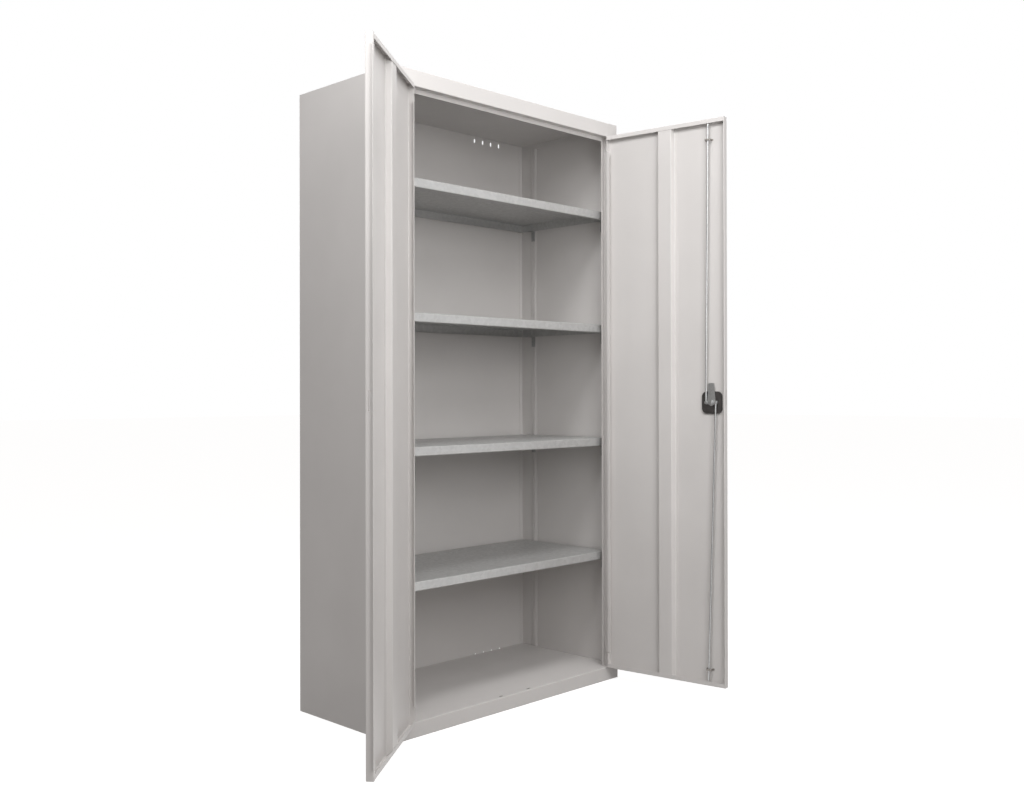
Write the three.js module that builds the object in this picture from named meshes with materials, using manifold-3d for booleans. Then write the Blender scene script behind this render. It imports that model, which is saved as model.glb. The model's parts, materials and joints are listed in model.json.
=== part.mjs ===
// A tall sheet steel storage cupboard with two hinged doors, standing open on four shelves.
// Millimetres, Z up. The origin lies on the floor, in the middle of the plinth's foot flange.
// Y grows from the front frame towards the back, and X from the left door to the right one.

import * as THREE from 'three';
import { mergeVertices } from 'three/addons/utils/BufferGeometryUtils.js';
import Module from 'manifold-3d';

const wasm = await Module();
wasm.setup();

// Overall size and sheet
const cabinet_height = 1950;
const cabinet_width = 1000;
const cabinet_depth = 475;
const sheet = 1;
const fit_gap = 0.3;
const overrun = 5;

// Front frame: a fascia, a plinth and two stiles stand round the rebate that the doors close into
const fascia_height = 48;
const plinth_height = 45;
const stile_width = 42;
const rebate_depth = 24;
const side_stop_width = 15;
const top_stop_height = 13;
const rear_flange_width = 15;
const foot_flange_depth = 25;
const tray_flange_height = 20;

// Vent slots in the back panel
const vent_width = 7;
const vent_height = 15;
const vent_pitch = 41;
const vent_count = 4;
const vent_group_inset = 185;
const upper_vent_drop = 18;
const lower_vent_rise = 41;

// Shelves and what carries them
const shelf_count = 4;
const shelf_fold = 28;
const shelf_return = 12;
const shelf_side_inset = 10.5;
const shelf_front_gap = 13;
const shelf_back_gap = 12;
const rail_width = 30;
const rail_crest_width = 14;
const rail_slope = 5;
const rail_depth = 3;
const front_rail_inset = 63;
const back_rail_inset = 67;
const rail_slot_height = 10;
const rail_slot_width = 4;
const rail_slot_pitch = 100;
const rail_slot_first = 200;
const clip_sheet = 1.5;
const clip_width = 18;
const clip_drop = 37;
const clip_ledge = 18;
const clip_tab_depth = 2.5;

// Doors
const door_thickness = 20;
const door_side_gap = 2;
const door_end_gap = 2;
const meeting_gap = 2;
const door_lip_width = 12;
const door_hinge_lip_width = 11;
const door_hem_depth = 9;
const door_hem_gap = 1;
const door_end_lip_width = 14;
const lip_relief_length = 55;
const left_door_open_angle = 142.5;
const right_door_open_angle = 97;
const stiffener_face_width = 50;
const stiffener_slope = 5;
const stiffener_foot = 12;
const stiffener_centre_share = 0.51;
const strip_overlap = 7;
const strip_end_margin = 30;
const strip_seat = 10;
const strip_sheet = 1.2;

// Weld-on barrel hinges, one at each end of each door
const barrel_radius = 5;
const barrel_length = 29;
const barrel_end_margin = 3;
const hinge_pin_radius = 3;
const hinge_pin_clearance = 0.1;
const hinge_pin_head_height = 2;
const hinge_pin_head_radius = 4.6;

// Lock, turned from outside by a wing handle in a sunk cup
const lock_height = 972;
const lock_edge_distance = 53;
const cup_size = 72;
const cup_corner = 17;
const cup_wall = 3;
const cup_depth = 8;
const cup_floor = 2;
const cup_cutout_clearance = 0.5;
const bezel_border = 6;
const bezel_thickness = 2.5;
const handle_disc_radius = 26;
const handle_disc_thickness = 3.7;
const handle_grip_length = 50;
const handle_grip_width = 12;
const handle_grip_height = 4.2;
const handle_boss_radius = 9;
const plug_radius = 5;
const plug_bore_depth = 6.3;
const plug_proud = 0.8;
const key_slot_length = 6;
const key_slot_width = 1.2;
const key_slot_depth = 2;
const spindle_radius = 5;
const spindle_length = 9;
const spindle_clearance = 0.4;
const cam_thickness = 2;
const cam_hub_radius = 11;
const cam_arm_width = 12;
const cam_pin_radius = 2.5;
const cam_pin_throw = 18;
const tongue_length = 64;
const tongue_root_width = 30;
const tongue_tip_width = 20;
const nut_radius = 9;
const nut_height = 4;
const latch_slot_top = 41;
const latch_slot_bottom = 13;

// Locking rods, their eyes, straps and slots
const rod_radius = 3;
const rod_edge_distance = 61;
const rod_depth = 13.5;
const rod_tip_margin = 0.5;
const rod_eye_radius = 5.5;
const rod_eye_thickness = 3;
const rod_slot_length = 16;
const rod_slot_width = 8;
const upper_strap_end_distance = 67;
const lower_strap_end_distance = 51;
const strap_foot = 4.5;
const strap_sheet = 1.5;
const strap_height = 6;

// Smoothness of round pieces
const barrel_sides = 24;
const round_sides = 32;
const rod_sides = 12;
const corner_segments = 5;
const hex_sides = 6;
const full_turn = 2 * Math.PI;
const right_angle = Math.PI / 2;

// Levels and lines that follow from the sizes above
const half_width = cabinet_width / 2;
const inner_wall = sheet + fit_gap;
const frame_half_width = half_width - stile_width - fit_gap;
const opening_top = cabinet_height - fascia_height;
const top_stop_bottom = opening_top - top_stop_height;
const floor_level = plinth_height;
const rail_slot_count = Math.floor((opening_top - rail_slot_first) / rail_slot_pitch);
const shelf_step = Math.round((opening_top - floor_level) / (shelf_count + 1) / rail_slot_pitch);
const shelf_spacing = shelf_step * rail_slot_pitch;
const tray_back = cabinet_depth - sheet - fit_gap;
const pivot_inset = stile_width + door_side_gap / 2;
const pivot_depth = -(barrel_radius + fit_gap);
const door_hinge_edge = door_side_gap / 2;
const door_free_edge = half_width - pivot_inset - meeting_gap / 2;
const door_bottom = floor_level + door_end_gap;
const door_top = opening_top - door_end_gap;
const door_width = door_free_edge - door_hinge_edge;
const door_hem_edge = door_free_edge - 2 * sheet - door_hem_gap;
const rod_line = door_free_edge - rod_edge_distance;
const lock_line = door_free_edge - lock_edge_distance;
const rod_side_step = lock_line - rod_line;
const rod_slot_centre = rod_edge_distance + meeting_gap / 2;
const stiffener_line = door_hinge_edge + door_width * stiffener_centre_share;
const upper_strap_level = door_top - upper_strap_end_distance;
const lower_strap_level = door_bottom + lower_strap_end_distance;

const colours = {
  paint: { color: 0xc9c6c1, roughness: 0.5, metalness: 0.0 },
  galvanised: { color: 0xb3bcc4, roughness: 0.45, metalness: 0.8 },
  zinc: { color: 0xc6c8c8, roughness: 0.35, metalness: 0.9 },
  black_plastic: { color: 0x2c2a2b, roughness: 0.4, metalness: 0.0 },
  dark_steel: { color: 0x55524f, roughness: 0.4, metalness: 0.8 },
};
const materials = Object.fromEntries(
  Object.entries(colours).map(([name, look]) => [name, new THREE.MeshStandardMaterial(look)]),
);

// Solids and cuts

function solid(geometry) {
  const bare = geometry.clone();
  bare.deleteAttribute('normal');
  bare.deleteAttribute('uv');
  const merged = mergeVertices(bare);
  return new wasm.Manifold(new wasm.Mesh({
    numProp: 3,
    vertProperties: new Float32Array(merged.attributes.position.array),
    triVerts: new Uint32Array(merged.index.array),
  }));
}

function join(pieces) {
  return pieces.map(solid).reduce((whole, piece) => whole.add(piece));
}

function cut(whole, tools) {
  return tools.map(solid).reduce((rest, tool) => rest.subtract(tool), whole);
}

function shell(manifold) {
  const mesh = manifold.getMesh();
  const geometry = new THREE.BufferGeometry();
  geometry.setAttribute('position', new THREE.BufferAttribute(new Float32Array(mesh.vertProperties), 3));
  geometry.setIndex(new THREE.BufferAttribute(new Uint32Array(mesh.triVerts), 1));
  geometry.computeVertexNormals();
  return geometry;
}

function part(name, manifold, material) {
  const mesh = new THREE.Mesh(shell(manifold), materials[material]);
  mesh.name = name;
  return mesh;
}

// A box between two limits on each axis, given in either order
function block(xs, ys, zs) {
  const low = [xs, ys, zs].map((pair) => Math.min(...pair));
  const high = [xs, ys, zs].map((pair) => Math.max(...pair));
  const box = new THREE.BoxGeometry(high[0] - low[0], high[1] - low[1], high[2] - low[2]);
  return box.translate((low[0] + high[0]) / 2, (low[1] + high[1]) / 2, (low[2] + high[2]) / 2);
}

// A flat plate whose outline lies in X and Z, from one depth to another
function plate(outline, near, far) {
  const geometry = new THREE.ExtrudeGeometry(outline, {
    depth: far - near,
    bevelEnabled: false,
    curveSegments: corner_segments,
  });
  return geometry.rotateX(right_angle).translate(0, far, 0);
}

// A round bar along Y
function round_bar(radius, near, far, sides = round_sides) {
  return new THREE.CylinderGeometry(radius, radius, far - near, sides).translate(0, (near + far) / 2, 0);
}

// A round bar along Z
function upright_bar(radius, low, high, sides) {
  const bar = new THREE.CylinderGeometry(radius, radius, high - low, sides);
  return bar.rotateX(right_angle).translate(0, 0, (low + high) / 2);
}

function rounded_square(size, corner) {
  const half = size / 2;
  const straight = half - corner;
  const outline = new THREE.Shape();
  outline.moveTo(-straight, -half);
  outline.lineTo(straight, -half);
  outline.absarc(straight, -straight, corner, -right_angle, 0, false);
  outline.absarc(straight, straight, corner, 0, right_angle, false);
  outline.absarc(-straight, straight, corner, right_angle, 2 * right_angle, false);
  outline.absarc(-straight, -straight, corner, 2 * right_angle, 3 * right_angle, false);
  outline.closePath();
  return outline;
}

function polygon(points) {
  return new THREE.Shape(points.map(([across, along]) => new THREE.Vector2(across, along)));
}

// A box given by its distance in from the outer face of one side: -1 is left, 1 is right
function side_block(side, insets, ys, zs) {
  return block(insets.map((inset) => side * (half_width - inset)), ys, zs);
}

// Carcass

function side_panel(side) {
  const rebate = [floor_level + fit_gap, opening_top - fit_gap];
  const stop = [floor_level + fit_gap, top_stop_bottom - fit_gap];
  const stop_inset = stile_width + side_stop_width;
  const stop_face = rebate_depth - sheet;
  const flange_face = tray_back - sheet;
  return join([
    side_block(side, [0, sheet], [0, cabinet_depth], [0, cabinet_height]),
    side_block(side, [0, stile_width], [0, sheet], [0, cabinet_height]),
    side_block(side, [stile_width - sheet, stile_width], [0, rebate_depth], rebate),
    side_block(side, [stile_width - sheet, stop_inset], [stop_face, rebate_depth], stop),
    side_block(side, [0, rear_flange_width], [flange_face, tray_back],
      [floor_level + fit_gap, cabinet_height - inner_wall]),
    side_block(side, [0, rear_flange_width], [foot_flange_depth + sheet, flange_face], [0, sheet]),
  ]);
}

function rod_slot(x, level) {
  const half = rod_slot_length / 2;
  const reach = rod_slot_width / 2;
  return block([x - half, x + half], [rod_depth - reach, rod_depth + reach], [level - overrun, level + overrun]);
}

function tray_flanges(zs) {
  const insets = [inner_wall, inner_wall + sheet];
  const ys = [foot_flange_depth + sheet, tray_back - foot_flange_depth];
  return [-1, 1].map((side) => side_block(side, insets, ys, zs));
}

function top_panel() {
  const across = [-frame_half_width, frame_half_width];
  const wide = half_width - inner_wall;
  const deck = [cabinet_height - sheet, cabinet_height];
  const whole = join([
    block([-wide, wide], [inner_wall, tray_back], deck),
    block(across, [0, rebate_depth], deck),
    block(across, [0, sheet], [opening_top, cabinet_height]),
    block(across, [0, rebate_depth], [opening_top, opening_top + sheet]),
    block(across, [rebate_depth - sheet, rebate_depth], [top_stop_bottom, opening_top + sheet]),
    ...tray_flanges([cabinet_height - tray_flange_height, cabinet_height]),
  ]);
  return cut(whole, [rod_slot(-rod_slot_centre, opening_top), rod_slot(rod_slot_centre, opening_top)]);
}

function floor_panel() {
  const across = [-frame_half_width, frame_half_width];
  const wide = half_width - inner_wall;
  const deck = [floor_level - sheet, floor_level];
  const whole = join([
    block([-wide, wide], [inner_wall, tray_back], deck),
    block(across, [0, rebate_depth], deck),
    block(across, [0, sheet], [0, floor_level]),
    block(across, [0, foot_flange_depth], [0, sheet]),
    ...tray_flanges([floor_level - tray_flange_height, floor_level]),
  ]);
  return cut(whole, [rod_slot(-rod_slot_centre, floor_level), rod_slot(rod_slot_centre, floor_level)]);
}

function back_panel() {
  const wide = half_width - inner_wall;
  const whole = join([block([-wide, wide], [cabinet_depth - sheet, cabinet_depth], [0, cabinet_height])]);
  const slots = [];
  for (const level of [cabinet_height - upper_vent_drop, lower_vent_rise]) {
    for (const side of [-1, 1]) {
      for (let index = 0; index < vent_count; index += 1) {
        const centre = side * (half_width - vent_group_inset) + (index - (vent_count - 1) / 2) * vent_pitch;
        slots.push(block(
          [centre - vent_width / 2, centre + vent_width / 2],
          [cabinet_depth - overrun, cabinet_depth + overrun],
          [level - vent_height / 2, level + vent_height / 2],
        ));
      }
    }
  }
  return cut(whole, slots);
}

// Shelf rails and clips

const rail_face_inset = inner_wall + rail_depth;
const rail_depths = { front: front_rail_inset, back: cabinet_depth - back_rail_inset };

function shelf_rail(side, depth) {
  const zs = [floor_level + fit_gap, cabinet_height - tray_flange_height - fit_gap];
  const edge = rail_width / 2;
  const crest = rail_crest_width / 2;
  const root = crest + rail_slope;
  const face = rail_face_inset;
  const foot = inner_wall;
  const outline = polygon([
    [-edge, foot], [-root, foot], [-crest, face - sheet], [crest, face - sheet], [root, foot], [edge, foot],
    [edge, foot + sheet], [root, foot + sheet], [crest, face], [-crest, face], [-root, foot + sheet],
    [-edge, foot + sheet],
  ].map(([along, inset]) => [side * (half_width - inset), depth + along]));
  const bar = new THREE.ExtrudeGeometry(outline, { depth: zs[1] - zs[0], bevelEnabled: false });
  const whole = join([bar.translate(0, 0, zs[0])]);
  const slots = [];
  for (let index = 0; index < rail_slot_count; index += 1) {
    const level = rail_slot_first + index * rail_slot_pitch;
    slots.push(side_block(
      side,
      [rail_face_inset - 2 * sheet, rail_face_inset + overrun],
      [depth - rail_slot_width / 2, depth + rail_slot_width / 2],
      [level - rail_slot_height / 2, level + rail_slot_height / 2],
    ));
  }
  return cut(whole, slots);
}

function shelf_clip(side, depth, shelf_top) {
  const seat = shelf_top - shelf_fold - fit_gap;
  const leg = rail_face_inset + fit_gap;
  const reach = clip_width / 2;
  const tab_reach = rail_slot_width / 2 - fit_gap;
  const tab_level = shelf_top - floor_level;
  const tab_half = rail_slot_height / 2 - fit_gap;
  return join([
    side_block(side, [leg, leg + clip_sheet], [depth - reach, depth + reach], [seat - clip_drop, seat]),
    side_block(side, [leg, leg + clip_ledge], [depth - reach, depth + reach], [seat - clip_sheet, seat]),
    side_block(side, [rail_face_inset - clip_tab_depth, leg + clip_sheet],
      [depth - tab_reach, depth + tab_reach], [tab_level - tab_half, tab_level + tab_half]),
  ]);
}

function shelf(top) {
  const wide = half_width - shelf_side_inset;
  const front = rebate_depth + shelf_front_gap;
  const back = tray_back - shelf_back_gap;
  const zs = [top - shelf_fold, top];
  const across = [-wide, wide];
  const lower = [top - shelf_fold, top - shelf_fold + sheet];
  return join([
    block(across, [front, back], [top - sheet, top]),
    block(across, [front, front + sheet], zs),
    block(across, [back - sheet, back], zs),
    block(across, [front, front + shelf_return], lower),
    block(across, [back - shelf_return, back], lower),
    block([-wide, sheet - wide], [front, back], zs),
    block([wide - sheet, wide], [front, back], zs),
  ]);
}

// Doors. Each is drawn closed, with X and Y counted from its hinge axis. Reach is the distance from
// the axis towards the free edge, and depth is counted back from the front plane of the frame.

function door_block(side, reaches, depths, zs) {
  return block(reaches.map((reach) => -side * reach), depths.map((depth) => depth - pivot_depth), zs);
}

// A pan with lips on its edges. The lip at the hinges is cut away near both hinges. At the free edge
// the left door has a lip for the meeting strip, and the right door has its flange folded back inside.
function door_panel(side) {
  const full = [door_hinge_edge, door_free_edge];
  const tall = [door_bottom, door_top];
  const pan = [0, door_thickness];
  const lip = [door_thickness - sheet, door_thickness];
  const relieved = [door_bottom + lip_relief_length, door_top - lip_relief_length];
  const free_fold = side < 0
    ? [door_block(side, [door_free_edge - door_lip_width, door_free_edge], lip, tall)]
    : [
      door_block(side, [door_hem_edge, door_free_edge], lip, tall),
      door_block(side, [door_hem_edge, door_hem_edge + sheet], [door_thickness - door_hem_depth, door_thickness],
        tall),
    ];
  const whole = join([
    door_block(side, full, [0, sheet], tall),
    door_block(side, [door_hinge_edge, door_hinge_edge + sheet], pan, tall),
    door_block(side, [door_free_edge - sheet, door_free_edge], pan, tall),
    door_block(side, full, pan, [door_top - sheet, door_top]),
    door_block(side, full, pan, [door_bottom, door_bottom + sheet]),
    door_block(side, [door_hinge_edge, door_hinge_edge + door_hinge_lip_width], lip, relieved),
    ...free_fold,
    door_block(side, full, lip, [door_top - door_end_lip_width, door_top]),
    door_block(side, full, lip, [door_bottom, door_bottom + door_end_lip_width]),
  ]);
  const cuts = [
    door_block(side, [door_hem_edge - sheet, door_free_edge + overrun],
      [cup_depth - sheet, cup_depth + cam_thickness + sheet],
      [lock_height - latch_slot_bottom, lock_height + latch_slot_top]),
  ];
  for (const level of [door_top, door_bottom]) {
    const half = rod_slot_length / 2;
    const wide = rod_slot_width / 2;
    cuts.push(door_block(side, [rod_line - half, rod_line + half], [rod_depth - wide, rod_depth + wide],
      [level - 2 * sheet, level + 2 * sheet]));
  }
  return cut(whole, cuts);
}

function lock_cutout() {
  const opening = rounded_square(cup_size + 2 * cup_cutout_clearance, cup_corner + cup_cutout_clearance);
  return plate(opening, -overrun, 2 * sheet).translate(-lock_line, -pivot_depth, lock_height);
}

function door_stiffener(side) {
  const half_face = stiffener_face_width / 2;
  const root = half_face + stiffener_slope;
  const foot = root + stiffener_foot;
  const low = sheet + fit_gap;
  const high = door_thickness - sheet - fit_gap;
  const outline = polygon([
    [-foot, low], [-root + sheet, low], [-half_face + sheet, high - sheet], [half_face - sheet, high - sheet],
    [root - sheet, low], [foot, low], [foot, low + sheet], [root, low + sheet], [half_face, high],
    [-half_face, high], [-root, low + sheet], [-foot, low + sheet],
  ]);
  const length = door_top - door_bottom - 2 * inner_wall;
  const bar = new THREE.ExtrudeGeometry(outline, { depth: length, bevelEnabled: false });
  return join([bar.translate(-side * stiffener_line, -pivot_depth, door_bottom + inner_wall)]);
}

function meeting_strip() {
  const depth = door_thickness + fit_gap;
  return join([door_block(-1, [door_free_edge - strip_seat, door_free_edge + strip_overlap],
    [depth, depth + strip_sheet], [door_bottom + strip_end_margin, door_top - strip_end_margin])]);
}

// Barrel hinges: the lower barrel stands on the stile, the upper one on the door, one pin in both

function barrel(low) {
  const body = join([upright_bar(barrel_radius, low, low + barrel_length, barrel_sides)]);
  const bore = hinge_pin_radius + hinge_pin_clearance;
  return cut(body, [upright_bar(bore, low - overrun, low + barrel_length + overrun, barrel_sides)]);
}

function hinge_pin(low) {
  const shoulder = low + 2 * barrel_length + 2 * fit_gap;
  return join([
    upright_bar(hinge_pin_radius, low, shoulder + hinge_pin_head_height / 2, barrel_sides),
    upright_bar(hinge_pin_head_radius, shoulder, shoulder + hinge_pin_head_height, barrel_sides),
  ]);
}

const hinge_levels = {
  lower: door_bottom + barrel_end_margin,
  upper: door_top - 2 * barrel_length - fit_gap - hinge_pin_head_height - barrel_end_margin,
};

// Lock. Depth is again counted back from the front plane, with X and Z from the spindle.

const handle_back = cup_depth - cup_floor - fit_gap;
const grip_back = handle_back - handle_disc_thickness;
const cam_front = cup_depth + fit_gap;
const cam_back = cam_front + cam_thickness;

function lock_housing() {
  const bezel_size = cup_size + 2 * bezel_border;
  const bezel = rounded_square(bezel_size, cup_corner + bezel_border / 2);
  const hollow = rounded_square(cup_size - 2 * cup_wall, cup_corner - cup_wall);
  const whole = join([
    plate(bezel, -fit_gap - bezel_thickness, -fit_gap),
    plate(rounded_square(cup_size, cup_corner), -fit_gap - bezel_thickness / 2, cup_depth),
  ]);
  return cut(whole, [
    plate(hollow, -bezel_thickness - overrun, cup_depth - cup_floor),
    round_bar(spindle_radius + spindle_clearance, 0, cup_depth + overrun),
  ]);
}

function lock_handle() {
  const grip_front = grip_back - handle_grip_height;
  const half = handle_grip_length / 2 - handle_grip_width / 2;
  const wide = handle_grip_width / 2;
  const whole = join([
    round_bar(handle_disc_radius, grip_back, handle_back),
    block([-half, half], [grip_front, handle_back - sheet], [-wide, wide]),
    round_bar(wide, grip_front, handle_back - sheet).translate(-half, 0, 0),
    round_bar(wide, grip_front, handle_back - sheet).translate(half, 0, 0),
    round_bar(handle_boss_radius, grip_front, handle_back - sheet),
  ]);
  return cut(whole, [round_bar(plug_radius + fit_gap, grip_front - overrun, grip_front + plug_bore_depth)]);
}

function lock_plug() {
  const front = grip_back - handle_grip_height - plug_proud;
  const half = key_slot_length / 2;
  const wide = key_slot_width / 2;
  const whole = join([round_bar(plug_radius, front, front + plug_proud + plug_bore_depth - fit_gap)]);
  return cut(whole, [block([-half, half], [front - overrun, front + key_slot_depth], [-wide, wide])]);
}

function lock_spindle() {
  return join([round_bar(spindle_radius, handle_back + fit_gap, handle_back + fit_gap + spindle_length)]);
}

function lock_cam() {
  const root = tongue_root_width / 2;
  const tip = tongue_tip_width / 2;
  const tongue = polygon([[-root, 0], [root, 0], [tip, tongue_length], [-tip, tongue_length]]);
  const wide = cam_arm_width / 2;
  const pins = [-1, 1].map((end) => round_bar(cam_pin_radius, cam_front, rod_depth + rod_eye_thickness)
    .translate(end * cam_pin_throw, 0, 0));
  const whole = join([
    round_bar(cam_hub_radius, cam_front, cam_back),
    block([-cam_pin_throw, cam_pin_throw], [cam_front, cam_back], [-wide, wide]),
    round_bar(wide, cam_front, cam_back).translate(-cam_pin_throw, 0, 0),
    round_bar(wide, cam_front, cam_back).translate(cam_pin_throw, 0, 0),
    plate(tongue, cam_front, cam_back),
    ...pins,
  ]);
  return cut(whole, [round_bar(spindle_radius + fit_gap, cam_front - overrun, cam_back + overrun)]);
}

function lock_nut() {
  const front = cam_back + fit_gap;
  const body = join([round_bar(nut_radius, front, front + nut_height, hex_sides)]);
  return cut(body, [round_bar(spindle_radius + fit_gap, front - overrun, front + nut_height + overrun)]);
}

// A locking rod from its eye on the cam pin to its tip, along +Z before it is leant over
function locking_rod(length) {
  const eye_front = -rod_eye_thickness / 2;
  const eye_back = rod_eye_thickness / 2;
  const whole = join([
    round_bar(rod_eye_radius, eye_front, eye_back),
    upright_bar(rod_radius, rod_eye_radius - sheet, length, rod_sides),
  ]);
  return cut(whole, [round_bar(cam_pin_radius + fit_gap, eye_front - overrun, eye_back + overrun)]);
}

function rod_strap() {
  const inner = rod_slot_length / 2;
  const outer = inner + strap_sheet;
  const foot = outer + strap_foot;
  const low = sheet + fit_gap;
  const high = rod_depth + rod_radius + 2 * sheet;
  const zs = [-strap_height / 2, strap_height / 2];
  return join([
    block([-foot, -inner], [low, low + strap_sheet], zs),
    block([inner, foot], [low, low + strap_sheet], zs),
    block([-outer, -inner], [low, high], zs),
    block([inner, outer], [low, high], zs),
    block([-outer, outer], [high - strap_sheet, high], zs),
  ]);
}

// Assembly

const cabinet = new THREE.Group();
cabinet.position.y = -foot_flange_depth / 2;

cabinet.add(part('left_side_panel', side_panel(-1), 'paint'));
cabinet.add(part('right_side_panel', side_panel(1), 'paint'));
cabinet.add(part('back_panel', back_panel(), 'paint'));
cabinet.add(part('top_panel', top_panel(), 'paint'));
cabinet.add(part('floor_panel', floor_panel(), 'paint'));

const sides = { left: -1, right: 1 };
for (const [side_name, side] of Object.entries(sides)) {
  for (const [place, depth] of Object.entries(rail_depths)) {
    cabinet.add(part(`${side_name}_${place}_shelf_rail`, shelf_rail(side, depth), 'paint'));
  }
}

for (let index = 1; index <= shelf_count; index += 1) {
  const top = floor_level + (shelf_count + 1 - index) * shelf_spacing;
  cabinet.add(part(`shelf_${index}`, shelf(top), 'galvanised'));
  for (const [side_name, side] of Object.entries(sides)) {
    for (const [place, depth] of Object.entries(rail_depths)) {
      const name = `shelf_${index}_${side_name}_${place}_clip`;
      cabinet.add(part(name, shelf_clip(side, depth, top), 'zinc'));
    }
  }
}

function door_group(side, open_angle) {
  const group = new THREE.Group();
  group.position.set(side * (half_width - pivot_inset), pivot_depth, 0);
  group.rotation.z = side * THREE.MathUtils.degToRad(open_angle);
  return group;
}

const doors = {
  left: door_group(-1, left_door_open_angle),
  right: door_group(1, right_door_open_angle),
};
doors.left.add(part('left_door_panel', door_panel(-1), 'paint'));
doors.left.add(part('left_door_stiffener', door_stiffener(-1), 'paint'));
doors.left.add(part('meeting_strip', meeting_strip(), 'paint'));
doors.right.add(part('right_door_panel', cut(door_panel(1), [lock_cutout()]), 'paint'));
doors.right.add(part('right_door_stiffener', door_stiffener(1), 'paint'));

for (const [side_name, door] of Object.entries(doors)) {
  for (const [place, low] of Object.entries(hinge_levels)) {
    const fixed = new THREE.Group();
    fixed.position.copy(door.position);
    fixed.add(part(`${side_name}_${place}_frame_barrel`, barrel(low), 'paint'));
    fixed.add(part(`${side_name}_${place}_hinge_pin`, hinge_pin(low), 'zinc'));
    cabinet.add(fixed);
    door.add(part(`${side_name}_${place}_door_barrel`, barrel(low + barrel_length + fit_gap), 'paint'));
  }
  cabinet.add(door);
}

const lock = new THREE.Group();
lock.position.set(-lock_line, -pivot_depth, lock_height);
lock.add(part('lock_housing', lock_housing(), 'black_plastic'));
lock.add(part('lock_handle', lock_handle(), 'black_plastic'));
lock.add(part('lock_plug', lock_plug(), 'zinc'));
lock.add(part('lock_spindle', lock_spindle(), 'zinc'));
lock.add(part('lock_cam', lock_cam(), 'zinc'));
lock.add(part('lock_nut', lock_nut(), 'zinc'));

// Unlocked, the cam pins lie level with the spindle, so each rod leans from its pin to its strap
for (const [place, end, strap_level, tip_level] of [
  ['upper', 1, upper_strap_level, door_top - rod_tip_margin],
  ['lower', -1, lower_strap_level, door_bottom + rod_tip_margin],
]) {
  const rise = Math.abs(strap_level - lock_height);
  const lean = Math.atan2(rod_side_step - end * cam_pin_throw, rise);
  const length = Math.abs(tip_level - lock_height) / Math.cos(lean);
  const rod = part(`${place}_rod`, locking_rod(length), 'zinc');
  rod.position.set(end * cam_pin_throw, rod_depth, 0);
  rod.rotation.y = end > 0 ? lean : 2 * right_angle - lean;
  lock.add(rod);
  const strap = part(`${place}_rod_strap`, rod_strap(), 'dark_steel');
  strap.position.set(rod_side_step, 0, strap_level - lock_height);
  lock.add(strap);
}
doors.right.add(lock);

export default cabinet;
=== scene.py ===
"""Looks for a tall steel storage cupboard with two open doors: folded sheets, hinges, lock and stage."""

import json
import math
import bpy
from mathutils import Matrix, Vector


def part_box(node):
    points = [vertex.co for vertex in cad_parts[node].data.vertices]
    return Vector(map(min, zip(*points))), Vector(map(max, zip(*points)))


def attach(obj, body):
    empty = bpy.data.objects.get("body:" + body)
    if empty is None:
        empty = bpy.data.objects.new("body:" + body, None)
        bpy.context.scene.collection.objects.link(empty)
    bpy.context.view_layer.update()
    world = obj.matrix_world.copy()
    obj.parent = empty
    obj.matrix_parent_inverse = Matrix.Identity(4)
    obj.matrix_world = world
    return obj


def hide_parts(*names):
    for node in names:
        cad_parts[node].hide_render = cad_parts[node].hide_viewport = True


bl_info = {
    "name": "Steel storage cupboard",
    "version": (1, 0, 0),
    "blender": (4, 5, 0),
    "location": "View3D > Sidebar > Cupboard",
    "description": "Builds the folded sheets, shelves, hinges, lock and stage of an open steel cupboard",
    "category": "Object",
}

import bmesh
import bpy
from mathutils import Matrix, Vector

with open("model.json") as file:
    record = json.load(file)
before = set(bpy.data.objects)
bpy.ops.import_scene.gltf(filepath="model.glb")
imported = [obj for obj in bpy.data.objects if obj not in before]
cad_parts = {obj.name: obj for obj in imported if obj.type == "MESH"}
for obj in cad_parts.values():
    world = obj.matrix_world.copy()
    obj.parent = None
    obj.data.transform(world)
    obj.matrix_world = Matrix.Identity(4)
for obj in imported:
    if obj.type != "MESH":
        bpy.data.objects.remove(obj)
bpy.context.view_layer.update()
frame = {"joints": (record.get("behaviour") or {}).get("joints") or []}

MM = 0.001
SIDES = {"left": -1, "right": 1}
SHELVES = (1, 2, 3, 4)
PLACES = ("front", "back")

# Turns that lay a flat pattern on a sheet which faces up, to the front or to the side
FACING_UP = (0, 0, 0)
FACING_FRONT = (math.pi / 2, 0, 0)
FACING_SIDE = (0, math.pi / 2, 0)

STRAIGHT = math.radians(1)  # a corner that turns by less is no bend
SHARP_EDGE = math.radians(40)  # an edge that turns by more stays sharp in the shading
ROUND_END = 0.49  # corner of a slot with round ends, as a share of its width
ROUND_STEPS = 8  # facets round a corner of the lock's pieces


def low(node):
    """Lowest corner of a node."""
    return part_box(node)[0]


def high(node):
    """Highest corner of a node."""
    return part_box(node)[1]


def joint(name):
    """A joint of the frame by its name."""
    return next(entry for entry in frame["joints"] if entry["name"] == name)


def linear(code):
    """A colour in linear light from its sRGB hex code."""
    channels = [int(code[place:place + 2], 16) / 255 for place in (1, 3, 5)]
    return tuple(c / 12.92 if c <= 0.04045 else ((c + 0.055) / 1.055) ** 2.4 for c in channels)


# Places read from the frame

half_width = high("right_side_panel").x
front = low("floor_panel").y
height = high("top_panel").z
floor_level = high("floor_panel").z
sheet = high("back_panel").y - low("back_panel").y
back_face = high("back_panel").y
tray_back = high("top_panel").y
stop_inset = half_width - low("right_side_panel").x
stop_bottom = low("top_panel").z
seam = half_width - high("back_panel").x - sheet
door_low = low("left_door_panel").z
door_high = high("left_door_panel").z


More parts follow.
